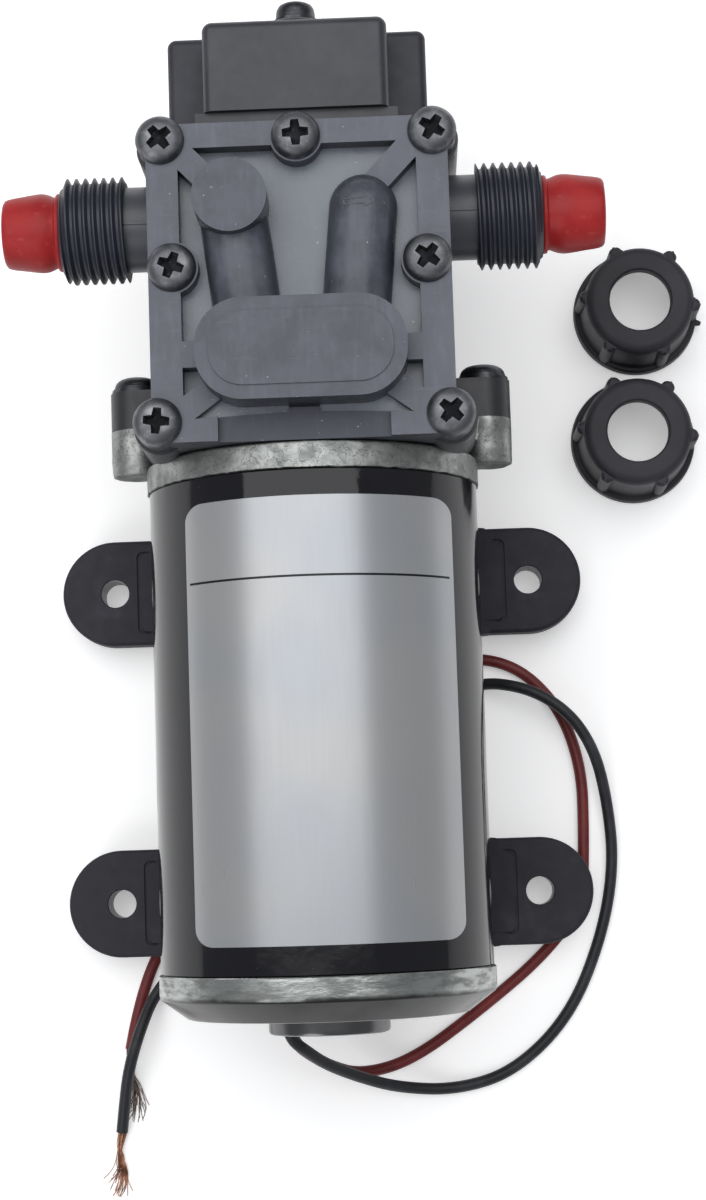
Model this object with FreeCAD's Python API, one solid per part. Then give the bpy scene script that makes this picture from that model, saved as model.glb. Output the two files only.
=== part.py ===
import FreeCAD, Part
import math
import os
from FreeCAD import Vector

# Small diaphragm pump, lying on its four rubber feet. Millimetres.
# X runs across the pump, Y along the motor towards the head, Z up.
# The origin is the centre of the four mounting holes, on the floor plane.

# Base: pressed steel bracket and rubber feet
hole_half_x = 44.7
hole_half_y = 33.4
hole_radius = 3.0
plate_underside_z = 5.6
plate_thickness = 2.0
plate_half_x = 27.0
tongue_half_width = 7.0
tongue_hole_radius = 4.6
cradle_half_x = 16.0
cradle_length = 10.0
foot_half_width = 11.4
foot_pad_radius = 5.8
foot_underside_z = 4.3
foot_height = 9.6
foot_inner_x = 33.2
sleeve_length = 6.2
sleeve_height = 11.0
foot_edge_radius = 1.2

# Motor: can, cast front bracket, rear cap
can_radius = 33.4
can_wall = 2.0
can_length = 96.7
can_rear_y = -47.5
rim_step = 0.4
rim_clearance = 0.1
bracket_rim_length = 5.2
bracket_spigot_length = 3.0
bracket_hub_radius = 17.0
bracket_hub_length = 8.5
bracket_web_half_height = 5.5
cap_rim_length = 4.6
cap_chamfer_length = 4.3
cap_chamfer_width = 5.6
cap_floor_thickness = 3.4
boss_radius = 12.2
boss_length = 3.6
boss_end_wall = 1.0
label_left_x = -24.4
label_right_x = 27.7
label_rear_y = -41.7
label_front_y = 43.9
label_corner_radius = 3.5
label_thickness = 0.2
label_adhesive = 0.03

# Motor: turning parts
shaft_radius = 4.0
shaft_front_overhang = 5.0
running_clearance = 0.04
ball_clearance = 0.05
bush_radius = 8.0
bush_length = 8.5
magnet_thickness = 4.5
core_length = 58.0
core_rear_y = -26.0
air_gap = 1.0
slot_count = 12
slot_radius = 3.7
slot_inset = 7.4
slot_mouth = 1.6
wire_clearance = 0.15
end_turn_length = 5.5
end_turn_inner_radius = 12.0
end_turn_inset = 3.4
magnet_overhang = 4.0
magnet_angle = 120.0
commutator_radius = 10.0
commutator_length = 10.5
commutator_gap = 1.8
brush_plate_thickness = 2.5
brush_plate_hole_radius = 12.5
brush_width = 5.0
brush_height = 6.0
brush_length = 9.0
brush_side_clearance = 0.1
holder_wall = 1.2
spring_length = 7.0
brush_spring_radius = 2.0
wire_radius = 0.35
front_bearing_radius = 11.0
front_bearing_width = 7.0
front_inner_race_radius = 6.1
front_outer_race_radius = 9.2

# Crank: eccentric, rod bearing, connecting rod, diaphragm
crank_offset = 19.6
crank_throw = 1.25
journal_radius = 7.0
rod_bearing_width = 7.0
rod_inner_race_radius = 8.6
rod_outer_race_radius = 11.4
rod_bearing_radius = 13.0
rod_ring_radius = 16.0
rod_width = 8.0
eccentric_hub_radius = 8.5
eccentric_hub_length = 7.0
set_screw_radius = 2.0
piston_radius = 8.0
piston_plate_radius = 8.5
piston_plate_thickness = 1.6
rod_head_thickness = 2.0
diaphragm_radius = 17.5
diaphragm_mouth_radius = 14.5
diaphragm_rim_thickness = 2.0
diaphragm_web_thickness = 1.6
diaphragm_roll_thickness = 1.0
diaphragm_hole_clearance = 0.05
piston_screw_radius = 1.5
piston_screw_head_radius = 3.2
piston_screw_head_height = 1.0
piston_screw_length = 9.0

# Head: crankcase, valve body, cover. Offsets run along Y from the front bracket's face.
crankcase_inset = 0.7
crankcase_bottom_z = 13.0
crankcase_edge_radius = 4.0
crank_chamber_clearance = 1.5
crank_chamber_length = 19.1
split_height = 18.0
deep_section_start = 17.4
deep_section_depth = 12.0
valve_body_height = 10.5
valve_deck_thickness = 2.5
body_side_inset = 0.4
port_height = 16.0
port_offset = 47.0
port_spacing = 25.2
passage_radius = 4.4
valve_offset_x = 8.6
valve_disc_radius = 4.6
valve_disc_thickness = 1.0
valve_stem_radius = 1.4
valve_stem_clearance = 0.2
valve_bulb_radius = 2.2
valve_bulb_length = 1.5
valve_travel = 1.0
valve_bulb_play = 0.2
flow_hole_radius = 0.9
flow_hole_ring = 3.0
flow_hole_count = 4
sensing_hole_radius = 1.2
cover_side_step = 4.5
cover_rear_gap = 0.2
cover_front_offset = 62.8
cover_plate_height = 6.5
cover_floor_height = 2.5
cover_rim_side = 6.2
cover_rim_front = 4.9
cover_rim_rear = 4.8
rib_half_width = 2.5
side_rib_offset = 14.7
side_rib_width = 5.2
toe_strip_half_x = 16.6
toe_strip_depth = 1.4
toe_rib_half_x = 3.0
chamber_offset = 16.8
chamber_side_gap = 2.8
chamber_half_y = 9.85
chamber_corner_radius = 9.2
chamber_height = 10.7
chamber_wall = 2.2
chamber_divider = 2.0
panel_inset = 2.7
panel_step = 0.35
disc_x = -12.9
disc_offset = 46.7
disc_radius = 7.2
tube_radius = 6.65
tube_axis_height = 3.9
inlet_tube_foot_x = -9.9
outlet_tube_head_x = 12.6
outlet_tube_head_offset = 45.2
outlet_tube_foot_x = 10.3
tube_foot_offset = 25.6
cover_edge_radius = 0.6
seal_groove_depth = 0.8
seal_width = 1.6
seal_inset = 3.4

# Fasteners
screw_radius = 2.0
screw_hole_clearance = 0.2
head_radius = 4.6
head_height = 2.6
recess_reach = 2.5
recess_half_width = 0.75
recess_depth = 1.5
cover_screw_length = 34.0
rear_screw_length = 26.0
cover_boss_radius = 5.2
cover_lug_radius = 4.6
mid_boss_radius = 5.4
front_screw_side = 2.9
front_screw_inset = 3.2
mid_screw_side = 4.6
mid_screw_offset = 34.4
rear_screw_side = 1.1
rear_screw_offset = 4.2
ear_outset = 1.7
ear_radius = 5.5
crankcase_ear_length = 8.0
bracket_ear_overlap = 0.9
ear_screw_stub = 0.2
washer_radius = 5.2
washer_thickness = 0.8

# Spigots and their protection plugs
neck_radius = 8.5
neck_seat_depth = 9.3
neck_length = 5.7
thread_radius = 10.65
thread_pitch = 1.814
thread_count = 7
thread_depth = 1.15
thread_length = 13.0
spigot_bore_radius = 5.5
plug_bead_radius = 8.0
plug_bead_length = 1.4
plug_waist_radius = 7.15
plug_bulge_radius = 7.9
plug_bulge_start = 4.4
plug_tip_radius = 6.95
plug_length = 12.5
plug_tip_edge = 1.2
plug_stem_radius = 5.3
plug_stem_length = 9.0
plug_rib_count = 3

# Pressure switch
switch_half_x = 18.3
switch_base_half_x = 20.0
switch_base_length = 4.2
switch_depth = 22.6
switch_top_height = 29.0
switch_bottom_height = -5.0
switch_wall = 2.0
lobe_outer_x = 26.0
lobe_top_height = 19.0
lobe_bottom_height = 3.0
switch_corner_radius = 2.0
lobe_edge_radius = 1.8
adjuster_boss_radius = 6.6
adjuster_boss_height = 2.6
adjuster_head_radius = 4.0
adjuster_head_height = 4.4
adjuster_thread_radius = 3.0
adjuster_foot_radius = 4.8
adjuster_foot_thickness = 1.5
switch_seal_radius = 8.0
switch_seal_thickness = 1.2
plunger_flange_radius = 6.0
plunger_flange_thickness = 2.0
plunger_stem_radius = 2.0
plunger_stem_length = 7.4
switch_spring_radius = 4.2
switch_spring_length = 10.4
micro_switch_half_x = 10.0
micro_switch_height = 6.4
micro_switch_length = 10.0
micro_switch_gap = 6.8
button_half_width = 1.5
button_proud = 1.1
button_depth = 2.2
button_gap = 0.3

# Union nuts, taken off and laid beside the pump
nut_x = 71.1
nut_y = 92.6
second_nut_x = 69.4
second_nut_y = 64.0
nut_height = 16.0
nut_flange_radius = 13.6
nut_flange_height = 3.0
nut_body_radius = 11.9
nut_top_hole_radius = 6.6
nut_top_thickness = 3.0
nut_bore_radius = 10.9
nut_lug_count = 6
nut_lug_half_width = 1.6
nut_lug_reach = 1.4
nut_lug_angle = 54.0

# Leads: insulated wire with stripped ends, lying on the floor
lead_radius = 1.25
lead_exit_x = -9.4
lead_exit_height = -18.0
lead_spacing = 4.0
grommet_length = 1.2
grommet_margin = 1.3
strand_radius = 0.3
strand_ring = 0.8
black_strand_tips = [(-50.6, -94.6), (-48.9, -97.0), (-47.3, -95.2), (-45.6, -96.4), (-43.4, -93.2)]
red_strand_tips = [(-45.3, -77.0), (-44.3, -79.6), (-43.2, -77.8), (-42.3, -80.4), (-41.4, -76.6)]

# Routes of the leads, from the grommet to the end of the insulation
black_route = [
    (-9.4, -57.6, 25.0), (-9.4, -61.0, 25.0), (-8.4, -64.2, 24.3), (-6.0, -67.6, 22.2),
    (-1.2, -70.8, 17.8), (5.4, -73.6, 11.4), (13.4, -75.4, 4.6), (25.6, -76.2, 1.3),
    (39.4, -71.4, 1.3), (50.6, -60.6, 1.3), (58.4, -44.0, 1.3), (62.0, -28.5, 1.3),
    (60.8, -14.4, 2.2), (57.2, -4.2, 5.6), (51.2, 3.8, 6.6), (42.4, 9.4, 6.4),
    (32.0, 12.2, 2.0), (18.0, 4.6, 1.3), (-4.0, -16.6, 1.3), (-25.6, -39.6, 1.3),
    (-37.6, -51.8, 2.2), (-42.6, -60.4, 6.2), (-45.2, -68.6, 5.8), (-46.8, -77.0, 2.2),
    (-46.9, -84.0, 1.3),
]
red_route = [
    (-9.4, -57.6, 21.0), (-9.4, -61.0, 21.0), (-8.5, -64.4, 20.2), (-6.4, -68.0, 17.8),
    (-0.9, -70.6, 11.4), (6.2, -71.8, 4.8), (15.8, -67.8, 1.3), (30.5, -56.4, 1.3),
    (45.6, -47.4, 1.3), (56.4, -36.6, 1.3), (57.6, -21.5, 1.3), (55.4, -6.8, 1.3),
    (48.6, 6.6, 1.3), (38.2, 16.4, 1.3), (25.0, 17.4, 1.3), (9.0, 5.6, 1.3),
    (-15.5, -18.4, 1.3), (-35.4, -39.4, 1.3), (-42.2, -53.6, 1.3), (-45.0, -65.8, 1.3),
]

# Places worked out from the sizes above
motor_axis_z = plate_underside_z + plate_thickness + can_radius
bracket_rim_radius = can_radius + rim_step
cap_face_radius = bracket_rim_radius - cap_chamfer_width
core_radius = can_radius - can_wall - magnet_thickness - air_gap
slot_pitch_radius = core_radius - slot_inset
end_turn_outer_radius = core_radius - end_turn_inset
ear_screw_x = bracket_rim_radius + ear_outset
cover_half_x = bracket_rim_radius - cover_side_step
crankcase_half_x = cover_half_x - crankcase_inset
cover_rim_x = cover_half_x - cover_rim_side
chamber_half_x = cover_rim_x - chamber_side_gap
front_screw_x = cover_half_x - front_screw_side
mid_screw_x = cover_half_x - mid_screw_side
rear_screw_x = cover_half_x - rear_screw_side
neck_start_x = cover_half_x - neck_seat_depth
thread_start_x = cover_half_x + neck_length
spigot_end_x = thread_start_x + thread_length
plug_bulge_x = spigot_end_x + plug_bulge_start
plug_tip_x = spigot_end_x + plug_length
can_front_y = can_rear_y + can_length
bracket_front_y = can_front_y + bracket_rim_length
crank_y = bracket_front_y + crank_offset
port_y = bracket_front_y + port_offset
chamber_y = bracket_front_y + chamber_offset
disc_y = bracket_front_y + disc_offset
outlet_tube_head_y = bracket_front_y + outlet_tube_head_offset
tube_foot_y = bracket_front_y + tube_foot_offset
side_rib_start = bracket_front_y + side_rib_offset
cover_front_y = bracket_front_y + cover_front_offset
front_screw_y = cover_front_y - front_screw_inset
mid_screw_y = bracket_front_y + mid_screw_offset
rear_screw_y = bracket_front_y + rear_screw_offset
switch_front_y = cover_front_y + switch_depth
micro_switch_y = cover_front_y + micro_switch_gap
hub_front_y = bracket_front_y + bracket_hub_length
cap_rim_y = can_rear_y - cap_rim_length
cap_face_y = cap_rim_y - cap_chamfer_length
boss_face_y = cap_face_y - boss_length
shaft_rear_y = boss_face_y + boss_end_wall + 0.4
shaft_front_y = crank_y + shaft_front_overhang
split_z = motor_axis_z + split_height
deep_start_y = crank_y + deep_section_start
deep_bottom_z = split_z - deep_section_depth
body_top_z = split_z + valve_body_height
deck_bottom_z = body_top_z - valve_deck_thickness
port_z = motor_axis_z + port_height
port_x = port_spacing / 2
rim_top_z = body_top_z + cover_plate_height
floor_z = body_top_z + cover_floor_height
chamber_top_z = floor_z + chamber_height
tube_axis_z = body_top_z + tube_axis_height
cover_rear_y = bracket_front_y + cover_rear_gap
crank_z = motor_axis_z + crank_throw
ear_front_y = hub_front_y + crankcase_ear_length
chamber_r = rod_ring_radius + crank_throw + crank_chamber_clearance
piston_under_z = split_z + diaphragm_rim_thickness - diaphragm_web_thickness + 0.4
piston_top_z = piston_under_z + diaphragm_web_thickness
motor_axis = Vector(0, 0, motor_axis_z)
along_x = Vector(1, 0, 0)
along_y = Vector(0, 1, 0)
along_z = Vector(0, 0, 1)

cover_screw_places = [
    (-front_screw_x, front_screw_y), (0.0, front_screw_y), (front_screw_x, front_screw_y),
    (-mid_screw_x, mid_screw_y), (mid_screw_x, mid_screw_y),
    (-rear_screw_x, rear_screw_y), (rear_screw_x, rear_screw_y),
]
cover_screw_turns = [38.0, 2.0, -32.0, -22.0, 52.0, -6.0, 48.0]


def block(x0, x1, y0, y1, z0, z1):
    return Part.makeBox(x1 - x0, y1 - y0, z1 - z0, Vector(x0, y0, z0))


def rod_y(radius, y0, y1, x=0.0, z=motor_axis_z):
    return Part.makeCylinder(radius, y1 - y0, Vector(x, y0, z), along_y)


def rod_z(radius, z0, z1, x, y):
    return Part.makeCylinder(radius, z1 - z0, Vector(x, y, z0), along_z)


def rod_x(radius, x0, x1, y, z):
    return Part.makeCylinder(radius, x1 - x0, Vector(x0, y, z), along_x)


def ring_y(outer, inner, y0, y1, z=motor_axis_z):
    return rod_y(outer, y0, y1, 0.0, z).cut(rod_y(inner, y0 - 1, y1 + 1, 0.0, z))


def turned_y(profile, z=motor_axis_z):
    """Solid of revolution about an axis along Y, from (radius, y) corners."""
    points = [Vector(r, y, z) for r, y in profile]
    face = Part.Face(Part.makePolygon(points + points[:1]))
    return face.revolve(Vector(0, 0, z), along_y, 360)


def turned_x(profile, side, y, z):
    """Solid of revolution about an axis along X, from (x, radius) corners, on one side."""
    points = [Vector(side * x, y, z + r) for x, r in profile]
    face = Part.Face(Part.makePolygon(points + points[:1]))
    return face.revolve(Vector(0, y, z), along_x, 360)


def turned_z(profile, x, y):
    """Solid of revolution about an upright axis, from (radius, z) corners."""
    points = [Vector(x + r, y, z) for r, z in profile]
    face = Part.Face(Part.makePolygon(points + points[:1]))
    return face.revolve(Vector(x, y, 0), along_z, 360)


def rounded_plate(x0, x1, y0, y1, z0, z1, radius):
    """Block whose four upright edges are rounded."""
    solid = block(x0, x1, y0, y1, z0, z1)
    upright = [e for e in solid.Edges if abs(e.tangentAt(e.FirstParameter).z) > 0.99]
    return solid.makeFillet(radius, upright)


def edges_at(solid, z, reach=0.01):
    """Edges that lie wholly at one height."""
    return [e for e in solid.Edges
            if abs(e.BoundBox.ZMin - z) < reach and abs(e.BoundBox.ZMax - z) < reach]


def fuse(pieces):
    whole = pieces[0].multiFuse(pieces[1:])
    return whole.removeSplitter()


def balls(count, ball_radius, pitch_radius, y, z):
    solids = []
    for i in range(count):
        turn = 2 * math.pi * i / count
        centre = Vector(pitch_radius * math.cos(turn), y, z + pitch_radius * math.sin(turn))
        solids.append(Part.makeSphere(ball_radius, centre))
    return solids


def bar_between(start, end, half_width, z0, z1):
    """Straight rib between two plan points."""
    run = Vector(end[0] - start[0], end[1] - start[1], 0)
    solid = Part.makeBox(run.Length, 2 * half_width, z1 - z0, Vector(0, -half_width, z0))
    solid.rotate(Vector(0, 0, 0), along_z, math.degrees(math.atan2(run.y, run.x)))
    solid.translate(Vector(start[0], start[1], 0))
    return solid


def coil_spring(radius, start, axis, length, turns):
    """Round wire wound along an axis, as half-turn arcs with straight-cut ends."""
    rise = (length - 2 * wire_radius) / (2 * turns)

    def place(half_turns):
        angle = math.pi * half_turns
        return Vector(radius * math.cos(angle), radius * math.sin(angle), wire_radius + rise * half_turns)

    arcs = [Part.Arc(place(i), place(i + 0.5), place(i + 1)).toShape() for i in range(2 * turns)]
    profile = Part.Wire(Part.makeCircle(wire_radius, place(0), along_y))
    coil = Part.Wire(arcs).makePipeShell([profile], True, False)
    coil.Placement = FreeCAD.Placement(start, FreeCAD.Rotation(along_z, axis)).multiply(coil.Placement)
    return coil


# Base bracket and feet

def bracket_arm(side_x, side_y):
    """Flat arm that ends in the round tongue inside a foot."""
    hole_x = side_x * hole_half_x
    hole_y = side_y * hole_half_y
    top = plate_underside_z + plate_thickness
    near, far = sorted((side_x * (plate_half_x - 1), hole_x))
    arm = block(near, far, hole_y - tongue_half_width, hole_y + tongue_half_width,
                plate_underside_z, top)
    arm = arm.fuse(rod_z(tongue_half_width, plate_underside_z, top, hole_x, hole_y))
    return arm.cut(rod_z(tongue_hole_radius, 0, top + 1, hole_x, hole_y))


def base_bracket():
    top = plate_underside_z + plate_thickness
    reach_y = hole_half_y + tongue_half_width
    pieces = [block(-plate_half_x, plate_half_x, -reach_y, reach_y, plate_underside_z, top)]
    for side_x in (-1, 1):
        for side_y in (-1, 1):
            pieces.append(bracket_arm(side_x, side_y))
    for side_y in (-1, 1):
        centre = side_y * hole_half_y
        cradle = block(-cradle_half_x, cradle_half_x, centre - cradle_length / 2,
                       centre + cradle_length / 2, top - 0.5, motor_axis_z - can_radius / 2)
        pieces.append(cradle.cut(rod_y(can_radius, -reach_y, reach_y)))
    whole = pieces[0].multiFuse(pieces[1:])
    keep = [s for s in whole.Solids if s.BoundBox.ZMin < top - 0.1]
    return keep[0].removeSplitter()


def rubber_foot(side_x, side_y):
    """Rubber boot slipped over a tongue: round pad below, thicker sleeve next to the motor."""
    hole_x = hole_half_x
    low = foot_underside_z
    boot = block(foot_inner_x, hole_x, -foot_half_width, foot_half_width, low, foot_height)
    boot = boot.fuse(rod_z(foot_half_width, low, foot_height, hole_x, 0)).removeSplitter()
    boot = boot.makeFillet(foot_edge_radius, edges_at(boot, foot_height))
    sleeve = block(foot_inner_x, foot_inner_x + sleeve_length, -foot_half_width, foot_half_width,
                   low, sleeve_height)
    sleeve = sleeve.makeFillet(foot_edge_radius, edges_at(sleeve, sleeve_height))
    foot = fuse([boot, sleeve, rod_z(foot_pad_radius, 0, low + 0.5, hole_x, 0)])
    foot = foot.cut(rod_z(hole_radius, -1, sleeve_height, hole_x, 0))
    if side_x < 0:
        foot = foot.mirror(Vector(0, 0, 0), along_x)
    foot.translate(Vector(0, side_y * hole_half_y, 0))
    return foot.cut(bracket_arm(side_x, side_y))


# Motor, standing parts

def motor_can():
    return ring_y(can_radius, can_radius - can_wall, can_rear_y, can_front_y)


def motor_label():
    inner = can_radius + label_adhesive
    skin = ring_y(inner + label_thickness, inner, can_rear_y, can_front_y)
    window = rounded_plate(label_left_x, label_right_x, label_rear_y, label_front_y,
                           motor_axis_z, motor_axis_z + 2 * can_radius, label_corner_radius)
    return skin.common(window)


def bracket_ears():
    """Bar across the bracket that ends in the two screw ears."""
    half = bracket_web_half_height
    pieces = [block(-ear_screw_x, ear_screw_x, bracket_front_y, hub_front_y,
                    motor_axis_z - half, motor_axis_z + half)]
    for side in (-1, 1):
        pieces.append(rod_y(ear_radius, bracket_front_y - bracket_ear_overlap, hub_front_y,
                            side * ear_screw_x))
    return pieces


def front_bracket():
    inner = can_radius - can_wall
    spigot_rear = can_front_y - bracket_spigot_length
    pieces = [
        rod_y(bracket_rim_radius, can_front_y, bracket_front_y),
        rod_y(inner, spigot_rear, can_front_y),
        rod_y(bracket_hub_radius, bracket_front_y, hub_front_y),
    ] + bracket_ears()
    solid = fuse(pieces)
    seat_end = hub_front_y - 1.0
    seat_start = seat_end - front_bearing_width
    solid = solid.cut(rod_y(inner - 3, spigot_rear - 1, can_front_y))
    solid = solid.cut(rod_y(front_bearing_radius, seat_start, hub_front_y + 1))
    solid = solid.cut(rod_y(front_inner_race_radius + 1, spigot_rear, seat_start))
    for side in (-1, 1):
        solid = solid.cut(rod_y(screw_radius, can_front_y - 10, hub_front_y + 1, side * ear_screw_x))
    return solid.removeSplitter()


def bearing_y0():
    return hub_front_y - 1.0 - front_bearing_width


def front_bearing_outer():
    start = bearing_y0()
    race = ring_y(front_bearing_radius, front_outer_race_radius, start, start + front_bearing_width)
    gap = front_outer_race_radius - front_inner_race_radius
    ball = gap / 2 - ball_clearance
    pitch = (front_outer_race_radius + front_inner_race_radius) / 2
    return Part.makeCompound([race] + balls(8, ball, pitch, start + front_bearing_width / 2, motor_axis_z))


def front_bearing_inner():
    start = bearing_y0()
    return ring_y(front_inner_race_radius, shaft_radius, start, start + front_bearing_width)


def rear_cap():
    rim = bracket_rim_radius
    inner = can_radius - can_wall
    solid = turned_y([
        (0, can_rear_y), (rim, can_rear_y), (rim, cap_rim_y), (cap_face_radius, cap_face_y),
        (boss_radius, cap_face_y), (boss_radius, boss_face_y), (0, boss_face_y),
    ])
    floor_y = cap_face_y + cap_floor_thickness
    solid = solid.cut(rod_y(inner - 2, floor_y, can_rear_y + 1))
    solid = solid.cut(rod_y(bush_radius, boss_face_y + boss_end_wall, can_rear_y))
    return solid


def rear_bush():
    start = boss_face_y + boss_end_wall
    return ring_y(bush_radius, shaft_radius + running_clearance, start, start + bush_length)


def field_magnets():
    inner = core_radius + air_gap
    outer = can_radius - can_wall
    start = core_rear_y - magnet_overhang
    length = core_length + 2 * magnet_overhang
    solids = []
    for side in (-1, 1):
        arc = Part.makeCylinder(outer, length, Vector(0, start, motor_axis_z), along_y, magnet_angle)
        arc = arc.cut(rod_y(inner, start - 1, start + length + 1))
        arc.rotate(motor_axis, along_y, side * 90 - magnet_angle / 2)
        solids.append(arc)
    return Part.makeCompound(solids)


def brush_y():
    return core_rear_y - end_turn_length - commutator_gap - commutator_length / 2


def brush_holder(side):
    mid_y = brush_y()
    x0 = commutator_radius + 1.5
    x1 = commutator_radius + brush_length + spring_length + holder_wall
    half_y = brush_height / 2 + brush_side_clearance
    half_z = brush_width / 2 + brush_side_clearance
    wall = holder_wall
    low, high = sorted((side * x0, side * x1))
    case = block(low, high, brush_plate_front_y(), mid_y + half_y + wall,
                 motor_axis_z - half_z - wall, motor_axis_z + half_z + wall)
    inner_low, inner_high = sorted((side * (x0 - 1), side * (x1 - wall)))
    return case.cut(block(inner_low, inner_high, mid_y - half_y, mid_y + half_y,
                          motor_axis_z - half_z, motor_axis_z + half_z))


def brush_plate_front_y():
    return brush_y() - brush_height / 2 - brush_side_clearance - holder_wall


def brush_plate():
    front = brush_plate_front_y()
    disc = ring_y(can_radius - can_wall, brush_plate_hole_radius, front - brush_plate_thickness, front)
    return fuse([disc, brush_holder(-1), brush_holder(1)])


def carbon_brush(side):
    mid_y = brush_y()
    low, high = sorted((side * (commutator_radius - 2), side * (commutator_radius + brush_length)))
    solid = block(low, high, mid_y - brush_height / 2, mid_y + brush_height / 2,
                  motor_axis_z - brush_width / 2, motor_axis_z + brush_width / 2)
    return solid.cut(rod_y(commutator_radius + running_clearance, mid_y - 9, mid_y + 9))


def brush_spring(side):
    start = Vector(side * (commutator_radius + brush_length), brush_y(), motor_axis_z)
    return coil_spring(brush_spring_radius, start, Vector(side, 0, 0), spring_length, 5)


# Motor, turning parts

def motor_shaft():
    return rod_y(shaft_radius, shaft_rear_y, shaft_front_y)


def slot_places():
    for i in range(slot_count):
        yield 360.0 * i / slot_count


def armature_core():
    solid = ring_y(core_radius, shaft_radius, core_rear_y, core_rear_y + core_length)
    tools = []
    for turn in slot_places():
        slot = rod_y(slot_radius, core_rear_y - 1, core_rear_y + core_length + 1, slot_pitch_radius)
        mouth = block(slot_pitch_radius, core_radius + 1, core_rear_y - 1,
                      core_rear_y + core_length + 1,
                      motor_axis_z - slot_mouth / 2, motor_axis_z + slot_mouth / 2)
        tool = slot.fuse(mouth)
        tool.rotate(motor_axis, along_y, turn)
        tools.append(tool)
    return solid.cut(Part.makeCompound(tools))


def armature_windings():
    front = core_rear_y + core_length
    pieces = [
        ring_y(end_turn_outer_radius, end_turn_inner_radius, core_rear_y - end_turn_length, core_rear_y),
        ring_y(end_turn_outer_radius, end_turn_inner_radius, front, front + end_turn_length),
    ]
    for turn in slot_places():
        bundle = rod_y(slot_radius - wire_clearance, core_rear_y - 1, front + 1, slot_pitch_radius)
        bundle.rotate(motor_axis, along_y, turn)
        pieces.append(bundle)
    return fuse(pieces)


def commutator():
    mid_y = brush_y()
    half = commutator_length / 2
    solid = ring_y(commutator_radius, shaft_radius, mid_y - half, mid_y + half)
    tools = []
    for turn in slot_places():
        groove = block(commutator_radius - 1, commutator_radius + 1, mid_y - half - 1, mid_y + half + 1,
                       motor_axis_z - 0.25, motor_axis_z + 0.25)
        groove.rotate(motor_axis, along_y, turn + 180.0 / slot_count)
        tools.append(groove)
    return solid.cut(Part.makeCompound(tools))


# Crank, rod and diaphragm

def eccentric():
    journal_start = crank_y - rod_bearing_width / 2
    hub = rod_y(eccentric_hub_radius, journal_start - eccentric_hub_length, journal_start)
    journal = rod_y(journal_radius, journal_start, journal_start + rod_bearing_width, 0.0, crank_z)
    solid = hub.fuse(journal).cut(rod_y(shaft_radius, hub_front_y, shaft_front_y + 1))
    return solid.cut(set_screw())


def set_screw():
    mid_y = crank_y - rod_bearing_width / 2 - eccentric_hub_length / 2
    stub = rod_z(set_screw_radius, motor_axis_z - eccentric_hub_radius + 0.4, motor_axis_z, 0, mid_y)
    return stub.cut(rod_y(shaft_radius, hub_front_y, shaft_front_y))


def rod_bearing_inner():
    half = rod_bearing_width / 2
    return ring_y(rod_inner_race_radius, journal_radius, crank_y - half, crank_y + half, crank_z)


def rod_bearing_outer():
    half = rod_bearing_width / 2
    race = ring_y(rod_bearing_radius, rod_outer_race_radius, crank_y - half, crank_y + half, crank_z)
    ball = (rod_outer_race_radius - rod_inner_race_radius) / 2 - ball_clearance
    pitch = (rod_outer_race_radius + rod_inner_race_radius) / 2
    return Part.makeCompound([race] + balls(12, ball, pitch, crank_y, crank_z))


def connecting_rod():
    half = rod_width / 2
    ring = rod_y(rod_ring_radius, crank_y - half, crank_y + half, 0.0, crank_z)
    head = rod_z(piston_radius, piston_under_z - rod_head_thickness, piston_under_z, 0, crank_y)
    neck = rod_z(half, crank_z + rod_bearing_radius + 0.5, piston_under_z, 0, crank_y)
    solid = fuse([ring, neck, head])
    solid = solid.cut(rod_y(rod_bearing_radius, crank_y - half - 1, crank_y + half + 1, 0.0, crank_z))
    return solid.cut(piston_screw())


def piston_screw():
    seat_z = piston_top_z + piston_plate_thickness - piston_screw_head_height
    bottom_z = crank_z + rod_bearing_radius + 0.8
    shank = rod_z(piston_screw_radius, bottom_z, seat_z, 0, crank_y)
    head = rod_z(piston_screw_head_radius, seat_z, seat_z + piston_screw_head_height, 0, crank_y)
    return shank.fuse(head).removeSplitter()


def piston_plate():
    top = piston_top_z + piston_plate_thickness
    plate = rod_z(piston_plate_radius, piston_top_z, top, 0, crank_y)
    return plate.cut(piston_screw())


def diaphragm():
    """Clamped rim, thin rolling part and thick centre under the piston plate."""
    rim_top = split_z + diaphragm_rim_thickness
    roll_r0 = piston_plate_radius + 1.4
    roll_r1 = diaphragm_mouth_radius - 0.8
    roll_z = split_z + 0.2
    hole = piston_screw_radius + diaphragm_hole_clearance
    return turned_z([
        (hole, piston_under_z), (piston_plate_radius, piston_under_z),
        (roll_r0, roll_z), (roll_r1, roll_z), (diaphragm_mouth_radius, split_z),
        (diaphragm_radius, split_z), (diaphragm_radius, rim_top), (diaphragm_mouth_radius, rim_top),
        (roll_r1, roll_z + diaphragm_roll_thickness), (roll_r0, roll_z + diaphragm_roll_thickness),
        (piston_plate_radius, piston_top_z), (hole, piston_top_z),
    ], 0, crank_y)


# Head

def screw_lugs(z0, z1, radius):
    return [rod_z(radius, z0, z1, side * x, y)
            for x, y in ((front_screw_x, front_screw_y), (rear_screw_x, rear_screw_y))
            for side in (-1, 1)]


def rim_space():
    """Room that the head leaves round the front bracket's rim."""
    return rod_y(bracket_rim_radius + rim_clearance, can_front_y, bracket_front_y)


def deep_section():
    """Part of the valve body that reaches down round the ports, with its two front lugs."""
    half = cover_half_x - body_side_inset
    slab = block(-half, half, deep_start_y, cover_front_y, deep_bottom_z, split_z)
    return fuse([slab] + screw_lugs(deep_bottom_z, split_z, cover_boss_radius)[:2])


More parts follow.
